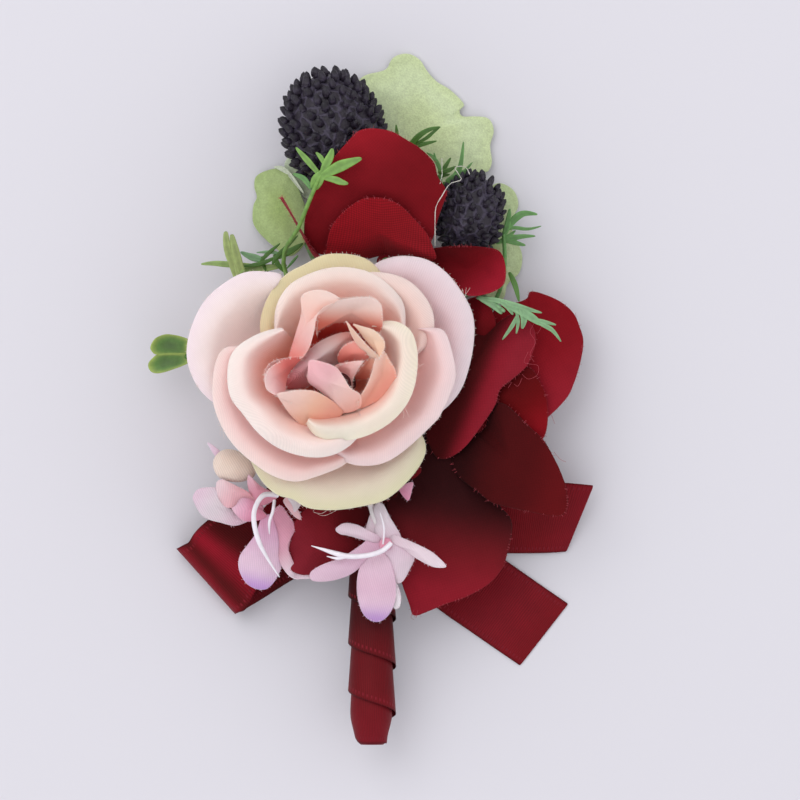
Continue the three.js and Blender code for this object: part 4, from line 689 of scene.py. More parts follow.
# Each floret: its eye, and for each petal its middle, swell, turn of the cloth, the line along which
# its tint changes, how strongly the weave shows, its tints and its outline. The tints are the red dye
# with painted shade and light: near black where a petal lies under the rose or another petal, and
# brighter where it is lit.
florets = {
    "floret_top": ((386, 262, 77), [
        ((374, 190, 112), 5, 0.1, ((340, 140), (400, 240)), 0.25,
         [(150, 24, 36), (126, 18, 28), (116, 14, 23), (126, 16, 26)],
         [(447, 191, 104), (445, 200, 102), (437, 222, 94), (430, 244, 84), (408, 254, 79), (393, 255, 77),
          (386, 254, 77), (379, 255, 77), (350, 256, 79), (318, 254, 82), (306, 242, 86), (304, 226, 92),
          (307, 209, 98), (313, 195, 104), (320, 180, 110), (334, 158, 120), (349, 141, 126),
          (358, 132, 130), (370, 129, 131), (383, 130, 131), (394, 133, 130), (406, 140, 127),
          (419, 148, 122), (429, 157, 118), (435, 165, 114), (438, 177, 109)]),
        ((380, 234, 106), 5, 0.85, ((350, 200), (420, 262)), 1.0,
         [(150, 18, 30), (148, 22, 32), (150, 26, 36)],
         [(436, 259, 88), (420, 262, 82), (396, 257, 78), (386, 254, 78), (376, 257, 78), (350, 262, 82),
          (328, 256, 90), (327, 245, 98), (330, 231, 106), (336, 220, 113), (347, 209, 120),
          (361, 200, 126), (372, 198, 127), (386, 199, 126), (401, 206, 121), (415, 220, 112),
          (427, 234, 102), (433, 247, 93)]),
        ((466, 270, 76), -5, 0.4, ((450, 252), (486, 292)), 0.25,
         [(92, 6, 14), (118, 12, 24), (152, 24, 42)],
         [(506, 272, 94), (504, 284, 96), (495, 291, 97), (483, 295, 97), (470, 296, 95), (456, 290, 90),
          (440, 282, 82), (414, 272, 77), (394, 266, 77), (394, 258, 77), (414, 254, 77), (434, 248, 80),
          (454, 246, 88), (472, 246, 92), (490, 248, 94), (499, 251, 94), (504, 259, 94)]),
        ((300, 228, 78), 0, 0, ((284, 200), (318, 256)), 0.25,
         [(150, 40, 52), (144, 34, 46), (136, 26, 38)],
         [(320, 256, 78), (317, 258, 66), (312, 254, 58), (302, 236, 56), (290, 214, 60), (281, 200, 68),
          (280, 198, 78), (282, 197, 88), (284, 199, 94), (292, 213, 98), (304, 234, 98), (315, 252, 90)]),
    ]),
    "floret_middle": ((411, 335, 66), [
        ((470, 372, 84), 5, 0.7, ((468, 362), (506, 378)), 0.25,
         [(64, 6, 9), (74, 8, 13), (132, 24, 38), (138, 30, 44)],
         [(532, 325, 80), (536, 340, 80), (533, 352, 81), (527, 366, 82), (514, 378, 84), (500, 390, 84),
          (495, 406, 84), (478, 431, 82), (463, 449, 80), (446, 459, 78), (434, 455, 76), (424, 430, 74),
          (416, 392, 70), (420, 352, 67), (418, 339, 66), (418, 331, 66), (430, 318, 66), (450, 312, 68),
          (470, 316, 69), (486, 330, 72), (500, 321, 76), (516, 313, 78)]),
        ((440, 320, 58), 2, 0, ((430, 310), (446, 340)), 0.25, [(90, 12, 20), (104, 16, 26)],
         [(452, 330, 58), (436, 342, 60), (420, 344, 62), (412, 336, 64), (418, 322, 62), (432, 300, 54),
          (446, 306, 54)]),
        ((390, 318, 64), 2, 0, ((380, 310), (400, 340)), 0.25, [(90, 12, 20), (104, 16, 26)],
         [(412, 334, 66), (402, 340, 66), (386, 330, 64), (370, 306, 62), (378, 298, 62), (394, 306, 62)]),
    ]),
    "floret_right": ((475, 425, 63), [
        ((532, 350, 58), 5, 0.3, ((520, 310), (560, 400)), 0.25,
         [(128, 12, 24), (132, 16, 28), (142, 26, 40)],
         [(584, 341, 48), (581, 362, 50), (574, 384, 54), (567, 398, 57), (551, 415, 60), (532, 430, 61),
          (508, 430, 62), (484, 429, 63), (482, 421, 63), (488, 390, 62), (488, 340, 59), (493, 312, 56),
          (506, 304, 54), (518, 302, 52), (527, 298, 50), (531, 291, 48), (545, 294, 46), (562, 302, 45),
          (574, 313, 45), (580, 326, 46)]),
        ((518, 406, 70), 5, 0, ((512, 380), (548, 426)), 0.25, [(86, 6, 10), (104, 6, 12), (132, 10, 22)],
         [(548, 412, 70), (547, 428, 70), (542, 440, 70), (528, 446, 70), (505, 440, 68), (484, 429, 64),
          (482, 420, 64), (492, 404, 69), (502, 386, 72), (520, 368, 74), (532, 369, 74), (540, 382, 73),
          (546, 396, 72)]),
        ((510, 460, 84), 5, 0.6, ((462, 458), (560, 490)), 0.25,
         [(40, 4, 6), (70, 8, 11), (78, 8, 12), (96, 12, 17)],
         [(566, 487, 84), (568, 504, 84), (564, 514, 84), (552, 516, 84), (530, 512, 84), (511, 508, 83),
          (492, 503, 81), (478, 492, 79), (458, 476, 74), (452, 460, 71), (460, 444, 67), (470, 433, 64),
          (478, 433, 64), (485, 427, 65), (490, 414, 71), (498, 403, 78), (508, 406, 80), (521, 418, 82),
          (533, 430, 84), (543, 439, 84), (552, 454, 85), (560, 470, 85)]),
        ((478, 324, 76), 2, 0, ((486, 300), (474, 350)), 0.25, [(124, 14, 26), (104, 10, 18), (78, 6, 12)],
         [(495, 318, 75), (495, 330, 75), (487, 346, 74), (475, 358, 69), (473, 400, 63), (476, 424, 63),
          (468, 422, 62), (462, 384, 58), (458, 340, 58), (462, 306, 60), (474, 297, 66), (486, 299, 74)]),
    ]),
    "floret_lower": ((412, 470, 72), [
        ((450, 532, 76), 5, 0.5, ((456, 470), (440, 590)), 0.25,
         [(44, 8, 11), (58, 10, 14), (108, 20, 28), (136, 24, 38)],
         [(512, 534, 66), (507, 556, 66), (503, 568, 66), (489, 584, 66), (467, 597, 66), (447, 604, 66),
          (430, 611, 66), (414, 616, 66), (409, 604, 69), (401, 581, 74), (393, 552, 81), (386, 524, 82),
          (388, 500, 78), (398, 484, 73), (406, 478, 72), (414, 478, 72), (414, 462, 70), (418, 440, 66),
          (432, 432, 65), (450, 444, 65), (464, 462, 65), (478, 482, 64), (500, 506, 64), (511, 519, 65)]),
        ((336, 526, 82), 5, 0.2, ((296, 548), (384, 506)), 0.25,
         [(124, 30, 42), (116, 22, 32), (86, 12, 18), (60, 6, 10)],
         [(405, 477, 72), (396, 500, 76), (388, 524, 80), (374, 544, 81), (356, 559, 79), (334, 567, 77),
          (310, 575, 75), (293, 572, 74), (288, 560, 74), (287, 546, 76), (292, 528, 78), (302, 512, 80),
          (318, 502, 83), (346, 490, 83), (380, 478, 76), (404, 471, 72)]),
    ]),
}
loose_reds = {
    "floret_middle": [
        [(531, 312, 90), (534, 322, 93), (530, 332, 92), (535, 342, 94), (530, 354, 92), (534, 362, 92)],
        [(528, 352, 92), (524, 362, 94), (530, 364, 96), (538, 366, 94), (537, 375, 92), (528, 379, 92),
         (522, 374, 92)],
        [(536, 316, 90), (541, 326, 93), (537, 334, 92)],
        [(522, 378, 90), (518, 386, 90), (514, 384, 92)],
        [(512, 382, 90), (508, 388, 90)],
    ],
    "floret_right": [
        [(554, 452, 86), (560, 459, 88), (566, 462, 88)],
        [(552, 416, 62), (555, 424, 62)],
    ],
    "floret_lower": [
        [(414, 610, 70), (411, 617, 68), (414, 620, 66)],
        [(418, 610, 70), (416, 618, 68)],
    ],
}
dark_thread = plain_finish("dark red thread", (176, 66, 78), 0.8, patch=900)
for number, (name, (hub, petals)) in enumerate(florets.items()):
    bm = new_sheet()
    cuts = [cut_petal(bm, at(*hub), petal, number * 5 + k) for k, petal in enumerate(petals)]
    disc = bmesh.ops.create_cone(bm, cap_ends=True, segments=16, radius1=0.0021, radius2=0.0018,
                                 depth=0.001)["verts"]
    paint(bm, disc, colour(110, 16, 26))
    bmesh.ops.translate(bm, verts=disc, vec=at(*hub))
    piece = build(name + "_petals", bm, red_cloth, name)
    threads = rim_threads(name + "_threads", [rim for cut_area, rim in cuts], dark_thread,
                          number, 90, 0.0005, 0.00003, loose_reds.get(name, ()))
    area = sum(cut_area for cut_area, rim in cuts)


# Rose. Five rings of petals on a wired bud, die cut from fine twill and dyed coral at the root, blush
# in the middle and cream at the rim. All but the heart are cupped, and their rims rolled outwards.
ROSE = (331, 381)
rose_cloth = cloth("rose twill", 4600, 0.8, 0.00003, 0.1, amount=0.04, glow=0.4)
rose_thread = plain_finish("rose thread", (240, 222, 214), 0.8, patch=900, amount=0.1)
coral, salmon = (240, 112, 92), (246, 158, 142)
# The bud's foam is coloured a very dark red, painted shade for the deep gap between the heart petals.
finish_nodes(plain_finish("bud foam darkened as shade", (74, 18, 14), 0.85), "rose_core")


def raised(across, down, height):
    """A spot over the rose's own plane, which leans 9 degrees to the right."""
    return (across, down, height + 0.158 * (ROSE[0] - across))


def net(rows, ripple, seed, edge):
    """A smooth surface through rows of spots, from a petal's root to its rim."""
    rows = [[Vector(raised(*spot)) for spot in row] for row in rows]

    def surface(p, q):
        share, side = (p + 1) / 2, (q + 1) / 2
        spot = along([along(row, side) for row in rows], share)
        wave = noise.noise(Vector((spot.x / 22, spot.y / 22, seed * 5.7)))
        fine = noise.noise(Vector((side * 34, seed * 2.3, 0)))
        spot.z += ripple * wave * share + edge * fine * max(0, share - 0.8) * 5
        return at(*spot)

    return surface


def cupped(lip, wall, heights, rim):
    """Rows of a cupped petal: root, belly, wall, crest and rolled rim, from the rim's places."""
    rows = [[], [], [], [], []]
    root = 16
    for k, (across, down) in enumerate(rim):
        dx, dy = across - ROSE[0], down - ROSE[1]
        reach = math.hypot(dx, dy)
        to_end = abs(2 * k / (len(rim) - 1) - 1)
        close = to_end ** 4 * 0.16
        slim = 1 - to_end ** 3 * 0.55
        foot = reach - wall * slim
        distances = (root, foot * 0.55 + root * 0.45, foot, reach - lip * slim, reach)
        for row, (distance, height) in enumerate(zip(distances, heights)):
            tuck = 1 - close * (row / 4)
            rows[row].append((ROSE[0] + dx / reach * distance * tuck, ROSE[1] + dy / reach * distance * tuck,
                              height - close * 40 * (row / 4)))
    return rows


# Each cupped petal: the width of its lip, the depth of its wall, the heights from root to rim, its
# tints from root to rim, and its rim across and down.
rings = {
    "rose_outer_petals": [
        (26, 62, (97, 99, 105, 129, 126),
         [salmon, (252, 200, 190), (250, 206, 198), (244, 214, 208), (244, 214, 220)],
         [(252, 322), (281, 272), (264, 269), (244, 272), (225, 283), (205, 301), (192, 327), (187, 354),
          (192, 377), (201, 395), (214, 410), (228, 424)]),
        (26, 62, (93, 96, 102, 122, 119),
         [salmon, (238, 176, 174), (226, 182, 184), (230, 194, 198), (242, 216, 222)],
         [(430, 430), (446, 418), (464, 393), (472, 362), (475, 332), (472, 311), (462, 292), (448, 274),
          (431, 261), (413, 255), (394, 253), (376, 256), (358, 270)]),
        (24, 58, (98, 101, 108, 133, 130),
         [salmon, (234, 190, 166), (222, 198, 162), (218, 198, 156), (220, 204, 160)],
         [(400, 290), (388, 272), (376, 263), (363, 257), (345, 254), (324, 255), (306, 264), (285, 275),
          (266, 297), (255, 323), (254, 344)]),
        (24, 58, (98, 101, 107, 130, 127),
         [salmon, (234, 186, 170), (224, 196, 178), (222, 204, 182), (212, 206, 166)],
         [(232, 444), (242, 460), (258, 482), (277, 496), (293, 499), (308, 508), (336, 510), (363, 506),
          (386, 500), (409, 482), (427, 461), (433, 446), (430, 430)]),
    ],
    "rose_second_petals": [
        (18, 48, (98, 104, 116, 146, 142),
         [salmon, (250, 176, 164), (242, 192, 180), (240, 200, 190), (242, 212, 204)],
         [(360, 264), (369, 268), (394, 274), (413, 284), (429, 303), (435, 323), (433, 343), (424, 356)]),
        (18, 46, (102, 106, 118, 151, 148),
         [salmon, (252, 170, 164), (248, 178, 174), (246, 190, 186), (246, 210, 204)],
         [(250, 333), (234, 343), (223, 346), (216, 358), (213, 381), (214, 404), (223, 428), (236, 447),
          (254, 463), (273, 476), (295, 483), (316, 480), (345, 473), (366, 462)]),
        (18, 46, (103, 108, 121, 153, 149),
         [salmon, (248, 166, 158), (242, 180, 174), (240, 196, 194), (244, 210, 210)],
         [(436, 318), (445, 324), (450, 334), (456, 366), (454, 385), (441, 414), (433, 424), (409, 447),
          (386, 463), (363, 468), (345, 467), (330, 458)]),
        (16, 44, (106, 116, 132, 157, 154),
         [coral, (255, 158, 136), (254, 186, 170), (250, 206, 196), (248, 218, 210)],
         [(264, 325), (273, 303), (289, 284), (312, 273), (332, 268), (351, 268), (371, 273), (390, 284),
          (409, 301), (419, 330)]),
    ],
    "rose_middle_petals": [
        (18, 38, (112, 124, 152, 183, 178),
         [coral, (255, 132, 108), (255, 168, 150), (252, 208, 200), (250, 226, 218)],
         [(274, 318), (260, 327), (242, 340), (231, 354), (228, 373), (231, 397), (244, 414), (258, 432),
          (277, 447), (301, 456), (326, 458), (347, 451), (363, 439), (370, 424)]),
        (18, 32, (114, 128, 156, 187, 182),
         [coral, (255, 132, 108), (255, 174, 152), (252, 214, 198), (244, 228, 202)],
         [(382, 313), (392, 316), (402, 321), (413, 332), (418, 354), (416, 381), (409, 401), (396, 418),
          (378, 431), (355, 440), (328, 442), (312, 438), (302, 431)]),
    ],
    "rose_inner_petals": [
        (14, 26, (112, 116, 130, 158, 186),
         [coral, coral, (220, 100, 82), (240, 156, 138), (246, 204, 188)],
         [(314, 326), (318, 314), (323, 308), (332, 302), (341, 299), (358, 297), (375, 298), (382, 310),
          (384, 328), (382, 342)]),
        (12, 24, (112, 116, 130, 158, 186),
         [coral, coral, (216, 104, 92), (234, 140, 134), (238, 184, 178)],
         [(290, 408), (276, 398), (267, 386), (265, 374), (270, 364), (280, 359), (292, 357), (303, 357)]),
        (12, 26, (112, 116, 128, 150, 166),
         [coral, coral, (216, 98, 80), (240, 150, 128), (244, 180, 156)],
         [(383, 350), (391, 362), (396, 374), (396, 392), (386, 401), (372, 404), (358, 406), (340, 412),
          (320, 420), (300, 416)]),
    ],
}
# The petals of the two inner rings that are cut to an outline, as in the florets. Their tints go
# from blush and cream to a darker coral where they turn down into the heart: the coral dye, with
# painted shade in the depths.
inner = {
    "rose_inner_petals": [
        ((306, 326, 184), -3, 0.4, ((322, 292), (296, 356)), 0.6,
         [(252, 214, 202), (253, 202, 190), (252, 192, 186), (246, 150, 142)],
         [(302, 297, 194), (314, 291, 200), (328, 292, 202), (340, 300, 198), (324, 308, 200),
          (317, 319, 200), (315, 331, 198), (310, 348, 190), (301, 360, 180), (290, 358, 168),
          (295, 338, 174), (302, 314, 184)]),
        ((352, 313, 186), -2, 0.9, ((354, 299), (352, 326)), 0.6,
         [(248, 216, 206), (248, 210, 198), (244, 176, 160), (226, 114, 96)],
         [(322, 309, 192), (333, 303, 198), (347, 299.5, 203), (360, 298, 205), (373, 298.5, 205),
          (381, 305, 203), (383, 318, 196), (381, 332, 182), (370, 330, 172), (359, 325, 168),
          (347, 323, 166), (330, 325, 168), (317, 332, 170), (317, 319, 182)]),
        # The heart's back wall, tinted coral to dark red: coral dye, with painted shade where it lies deep
        # under the petals round it.
        ((336, 330, 150), -4, 0.2, ((336, 322), (334, 344)), 0.5,
         [(236, 84, 70), (216, 54, 42), (188, 38, 30)],
         [(312, 333, 158), (330, 321, 166), (347, 319, 166), (359, 322, 166), (372, 332, 156),
          (362, 344, 128), (340, 340, 128), (325, 342, 128), (312, 350, 136)]),
        ((276, 377, 188), -4, 0.7, ((264, 384), (292, 370)), 0.6,
         [(252, 210, 208), (248, 186, 184), (236, 134, 128), (204, 80, 74)],
         [(265.6, 380, 196), (267, 373, 199), (271.4, 367.6, 200), (278, 363, 200), (286, 359, 198),
          (302, 358, 188), (296, 366, 180), (290, 374, 174), (287, 383, 172), (286, 391, 176),
          (278, 395, 186), (268, 390, 192)]),
        ((382, 376, 178), -3, 0.3, ((368, 366), (396, 388)), 0.5,
         [(250, 210, 194), (248, 190, 170), (244, 166, 148), (242, 158, 140)],
         [(384, 352, 194), (390, 361, 190), (396, 372, 186), (397, 391, 180), (386, 400, 172),
          (374.5, 403, 170), (360, 409, 168), (358, 401, 184), (366.8, 385, 192), (372, 372, 196),
          (375.5, 359, 198)]),
    ],
    "rose_heart_petals": [
        ((322, 357, 180), 8, 0.5, ((288, 384), (352, 336)), 3.0,
         [(232, 128, 132), (248, 184, 188), (252, 210, 206), (236, 156, 146)],
         [(284, 388, 154), (290, 374, 164), (297, 364, 168), (308, 352, 172), (318, 343, 174),
          (332, 336, 174), (345, 332.5, 172), (355, 334, 168), (356, 344, 156), (345, 356, 146),
          (338, 366, 146), (322, 380, 146), (305, 388, 146)]),
        ((306, 404, 178), 3, 0.8, ((286, 390), (324, 420)), 0.5,
         [(250, 214, 204), (250, 204, 188), (246, 186, 160), (240, 168, 148)],
         [(278, 394, 188), (288, 391.5, 192), (297, 390, 194), (308, 390, 192), (318, 392, 188),
          (333, 401, 178), (344, 412, 168), (328, 423, 164), (308, 428, 162), (294, 418, 166),
          (284, 405, 176)]),
        ((353, 354, 184), 4, 0.1, ((354, 340), (350, 364)), 0.4,
         [(240, 164, 154), (232, 134, 122), (214, 100, 88)],
         [(338, 356, 178), (342, 348, 184), (349, 343, 188), (356, 341.5, 190), (364, 348, 192),
          (373, 354, 192), (369, 361, 180), (355, 364, 170), (345, 366, 168), (339, 363, 172)]),
        ((350, 369, 188), 2, 0.6, ((363, 361), (340, 374)), 0.4,
         [(248, 200, 194), (244, 182, 176), (232, 150, 146)],
         [(335, 366.6, 182), (347, 362.5, 192), (363, 361, 197), (360, 367, 193), (356, 374, 186),
          (353, 381, 178), (352, 390, 168), (343, 378, 170)]),
        ((364, 370, 176), -2, 0.2, ((374, 357), (358, 380)), 0.4,
         [(246, 184, 162), (236, 146, 124), (206, 98, 80)],
         [(354, 375, 172), (362, 366, 182), (371, 356, 188), (376, 360, 188), (373, 370, 180),
          (370, 379, 166), (362, 379.5, 162), (354, 380, 160)]),
        ((331, 384, 192), 5, 1.0, ((312, 366), (350, 404)), 0.5,
         [(246, 180, 186), (248, 184, 188), (250, 200, 194), (248, 190, 178)],
         [(310, 360.5, 202), (321, 361.5, 204), (336, 367, 202), (344, 377, 200), (351, 388, 196),
          (361, 395, 190), (360, 408, 172), (344, 413, 166), (332, 402, 172), (321, 392, 178),
          (309, 382, 184), (308.5, 371, 196)]),
        ((361, 342, 199), 0, 0, ((350, 326), (376, 356)), 0.3,
         [(246, 206, 180), (246, 200, 178), (246, 206, 182)],
         [(346.5, 321.5, 204), (354, 330, 204), (360, 337, 203), (370, 348, 201), (380, 357.5, 198),
          (374, 358.5, 192), (366, 354, 190), (357, 344.5, 192), (351, 334, 196)]),
        ((373, 340, 196), 1, 0.3, ((360, 326), (384, 352)), 0.4,
         [(246, 212, 186), (244, 208, 180), (240, 190, 162)],
         [(353.5, 324.5, 202), (363, 327, 205), (373, 330, 206), (381, 336, 206), (385, 343, 204),
          (384, 351, 202), (380, 357, 198), (374, 350, 193), (366, 341, 193), (359.5, 332, 197)]),
    ],
}
loose_rose = {
    "rose_outer_petals": [
        [(462, 300, 128), (466, 294, 132), (470, 288, 134)],
        [(463, 302, 128), (465, 296, 130), (466, 288, 132)],
        [(461, 300, 128), (463, 294, 130), (462, 289, 131)],
        [(226, 424, 148), (224, 432, 146), (225, 439, 142)],
        [(224, 422, 148), (221, 430, 146), (221, 436, 142)],
        [(330, 508, 132), (322, 513, 130), (314, 512, 128)],
        [(338, 509, 132), (326, 515, 130), (318, 514, 128)],
    ],
    "rose_middle_petals": [
        [(404, 406, 172), (407, 412, 172), (409, 417, 168)],
        [(402, 408, 172), (404, 414, 172), (403, 418, 168)],
        [(414, 372, 172), (420, 366, 176), (424, 364, 176)],
    ],
}
for number, name in enumerate((*rings, "rose_heart_petals")):
    bm = new_sheet()
    cuts = []
    for k, (lip, wall, heights, tints, rim) in enumerate(rings.get(name, ())):
        rows, steps = cupped(lip, wall, heights, rim), tint_steps(tints, 0.7, 1.12)
        area = lay(bm, net(rows, 2.0, number * 7 + k, 1.6), lambda p, q, spot: along(steps, (p + 1) / 2),
                   (26, 34), 0.0003, 0.5 * k, at(*ROSE, 100))
        cuts.append((area, [at(*raised(*spot)) for spot in rows[-1]]))
    for k, petal in enumerate(inner.get(name, ())):
        cuts.append(cut_petal(bm, at(*ROSE, 110), petal, number * 9 + k, 24, 0.0003, 1.0, raised))
    piece = build(name + "_cloth", bm, rose_cloth, name)
    threads = rim_threads(name + "_threads", [rim for cut_area, rim in cuts], rose_thread,
                          60 + number, 90, 0.0004, 0.000025, loose_rose.get(name, ()))
    area = sum(cut_area for cut_area, rim in cuts)


# Small pink flowers. Narrow petals of thin pink twill round a small hub, with long white filaments,
# and one cream bud still closed. The petals are given as those of the florets.
pink_cloth = cloth("pink twill", 3600, 0.8, 0.00003, 0.16, amount=0.06, glow=0.4)
flowers = {
    "filler_flower_left": ((257, 508, 72), [
        ((213, 505, 72), 3, 0.3, ((194, 494), (238, 520)), 1.0,
         [(232, 196, 216), (226, 208, 216), (224, 184, 200)],
         [(193, 501, 66), (194, 493.5, 67), (199.5, 488.5, 68), (214, 487, 72), (219, 492, 74),
          (224, 504, 75), (233, 511, 74), (240, 522, 72), (256, 512, 71), (250, 520, 70), (236, 526, 68),
          (221, 523, 66), (203, 517, 64)]),
        ((231, 492, 80), 3, 0.9, ((218, 484), (246, 502)), 0.7,
         [(244, 208, 214), (236, 178, 186), (230, 158, 168)],
         [(216, 483.5, 76), (222, 479.5, 78), (232, 483.5, 80), (241, 488, 82), (249, 492.5, 82),
          (256, 502, 78), (250, 508, 76), (240, 505, 78), (230, 508, 78), (224, 506, 76), (218, 497, 76)]),
        ((247, 509, 80), 3, 0.5, ((230, 502), (256, 512)), 0.7,
         [(244, 200, 216), (238, 170, 194), (232, 142, 168)],
         [(229, 501, 76), (234, 496, 78), (243, 493, 80), (252, 497, 80), (258, 506, 78), (267, 517, 74),
          (251.5, 521.5, 74), (241.5, 520, 76), (233, 511, 78)]),
        ((257, 491, 84), 3, 0.2, ((250, 478), (262, 502)), 0.6,
         [(236, 176, 192), (224, 148, 166), (214, 132, 152)],
         [(248, 475, 82), (252, 477.5, 84), (261, 486, 85), (277, 495.5, 82), (270, 503, 78),
          (257, 506, 76), (251, 498, 78), (247.5, 485, 82)]),
        ((262, 550, 76), 4, 0.7, ((268, 520), (256, 588)), 0.8,
         [(230, 164, 196), (228, 176, 206), (232, 190, 214), (230, 192, 218), (186, 140, 208)],
         [(262, 517, 74), (273, 515, 74), (279, 529, 76), (282.5, 547, 75), (281, 569, 70), (270, 587, 66),
          (258.5, 590, 65), (246, 583.5, 66), (238.5, 569, 69), (239.5, 556, 71), (248, 544, 73),
          (256, 533, 74)]),
        ((287, 545, 78), 3, 0.1, ((276, 520), (296, 578)), 0.6,
         [(216, 146, 168), (222, 160, 178), (238, 212, 222)],
         [(273, 515, 76), (280, 505, 78), (288, 514, 80), (295.5, 527, 80), (290.5, 540, 79),
          (289, 554, 76), (293, 568, 73), (300, 579, 70), (290, 577, 70), (280.5, 564, 72),
          (277, 547, 74)]),
        ((293, 508, 84), 1, 0.1, ((286, 499), (300, 519)), 0.4, [(232, 184, 190), (230, 178, 184)],
         [(283, 501, 82), (288, 497, 84), (294, 504, 85), (300, 513, 84), (301, 520, 82), (295, 517, 82),
          (288, 509, 82)]),
        ((296, 502, 88), 1, 0.4, ((290, 498), (298, 510)), 0.3, [(220, 210, 214), (216, 202, 208)],
         [(288, 498, 86), (296, 495.5, 88), (304, 498, 88), (301, 505, 88), (294.5, 512, 87),
          (292, 505, 86)]),
        ((300, 574, 72), 1, 0.8, ((290, 572), (313, 577)), 0.5, [(232, 192, 206), (238, 214, 224)],
         [(286, 566, 72), (298, 568.5, 73), (312.5, 573, 72), (314, 578, 71), (300, 579, 71),
          (290, 575, 71)]),
    ]),
    "filler_flower_centre": ((386, 544, 98), [
        ((386, 522, 98), 3, 0.2, ((378, 506), (392, 538)), 0.5,
         [(234, 218, 228), (232, 212, 222), (226, 196, 210)],
         [(378, 502, 94), (384, 505, 96), (389.5, 516, 98), (395, 525, 99), (401, 538, 98), (390, 545, 97),
          (379, 539, 97), (374, 530, 96), (376, 520, 95), (372.5, 509, 93)]),
        ((369, 526, 94), 1, 0.2, ((370, 516), (370, 534)), 0.3, [(236, 218, 228), (228, 200, 212)],
         [(370.5, 514.5, 92), (374, 524, 95), (376, 535, 96), (365, 534, 95), (367, 524, 94)]),
        ((357, 533, 100), 3, 0.6, ((338, 530), (378, 536)), 0.5,
         [(236, 208, 222), (232, 204, 218), (224, 190, 206)],
         [(335.5, 529, 98), (344, 523, 100), (357, 524.5, 101), (368, 530, 101), (382, 538, 98),
          (380, 544, 97), (364, 540, 98), (347.5, 535.5, 98), (340, 534, 97)]),
        ((345, 566, 98), 4, 0.3, ((314, 576), (378, 546)), 0.6,
         [(226, 188, 208), (226, 184, 206), (222, 172, 196)],
         [(310.5, 572, 94), (323, 564, 97), (341, 557.5, 99), (359, 546, 99), (371, 538, 98),
          (386, 542, 97), (376, 554, 99), (362, 566, 98), (348.5, 575.5, 95), (330, 581, 93),
          (312, 580.5, 92)]),
        ((375, 588, 100), 5, 0.5, ((376, 556), (374, 620)), 0.7,
         [(236, 196, 214), (234, 192, 212), (230, 184, 206), (232, 190, 216), (190, 146, 212)],
         [(368, 552, 98), (378, 548, 98), (389, 556, 99), (394, 571, 100), (396, 588, 98), (394, 605, 96),
          (386, 618, 93), (375, 622, 92), (363.5, 614.5, 92), (357.5, 598, 94), (357, 579, 97),
          (361, 564, 98)]),
        ((395, 594, 94), 1, 0.2, ((392, 580), (400, 606)), 0.3, [(232, 214, 224), (240, 228, 234)],
         [(388, 578, 92), (396, 582, 94), (400.5, 594, 94), (400, 606, 93), (394, 608, 92),
          (390, 594, 92)]),
        ((398, 562, 98), 4, 0.9, ((390, 548), (408, 576)), 0.6,
         [(228, 196, 212), (228, 200, 214), (232, 208, 220)],
         [(383, 546, 98), (394, 540, 99), (405.5, 546, 99), (414.5, 556, 97), (410, 569, 95),
          (402, 582, 93), (393.5, 581, 93), (387, 563, 96)]),
        ((416, 551, 104), 3, 0.1, ((394, 540), (446, 566)), 0.5,
         [(230, 202, 214), (238, 214, 224), (240, 220, 230)],
         [(386, 541, 98), (392, 534.5, 99), (403.5, 538, 102), (421.5, 546, 105), (434.5, 553.5, 106),
          (446.5, 566, 105), (437, 567.5, 104), (427.5, 564.5, 103), (415, 557.5, 101), (403, 549, 99)]),
        ((407, 490, 92), 1, 0.1, ((412, 484), (402, 496)), 0.3, [(232, 160, 186), (226, 140, 170)],
         [(399, 488, 90), (405, 484, 92), (413, 482, 92), (412, 490, 92), (408.5, 500.5, 90),
          (402, 495, 90)]),
    ]),
}
flower_thread = plain_finish("pink thread", (238, 210, 222), 0.8, patch=900, amount=0.1)
for number, (name, (hub, petals)) in enumerate(flowers.items()):
    bm = new_sheet()
    cuts = [cut_petal(bm, at(*hub), petal, 30 + number * 11 + k, 18, 0.00025, 2.0)
            for k, petal in enumerate(petals)]
    ball = bmesh.ops.create_icosphere(bm, subdivisions=3, radius=0.0013)["verts"]
    paint(bm, ball, colour(224, 150, 172))
    bmesh.ops.translate(bm, verts=ball, vec=at(*hub))
    piece = build(name + "_petals", bm, pink_cloth, name)
    threads = rim_threads(name + "_threads", [rim for cut_area, rim in cuts], flower_thread,
                          80 + number, 40, 0.00035, 0.000025)
    area = sum(cut_area for cut_area, rim in cuts)

filament = plain_finish("white filament", (240, 234, 242), 0.5, patch=700, amount=0.1)
for name, curves in {
    "stamens_left": [
        ([(278, 495, 90), (264, 495, 96), (256, 506, 100), (254, 520, 102), (258.5, 540, 99),
          (267.5, 558, 93), (279.5, 577, 84)], 2.7, 0.6),
        ([(274.5, 500, 94), (273, 511, 98), (269.5, 522, 96), (269.5, 534, 92)], 1.6, 0.5),
    ],
    "stamens_centre": [
        ([(391, 543, 106), (382, 550.5, 110), (367.5, 555, 112), (349.5, 556, 113), (337, 553.5, 113),
          (323, 549, 112), (311.5, 545.5, 110)], 2.6, 0.4),
        ([(352, 556, 112), (344, 557, 113), (337, 558, 112), (327, 556, 110)], 1.6, 0.4),
        ([(383, 544, 106), (384, 528, 108), (380, 512, 106)], 0.9, 0.4),
    ],
}.items():
    lines = [strand(spots, 30, lambda share: along([thick, thick, thick, tip], share) * PIXEL)
             for spots, thick, tip in curves]
    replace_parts(strands(name + "_filaments", lines, filament), name)

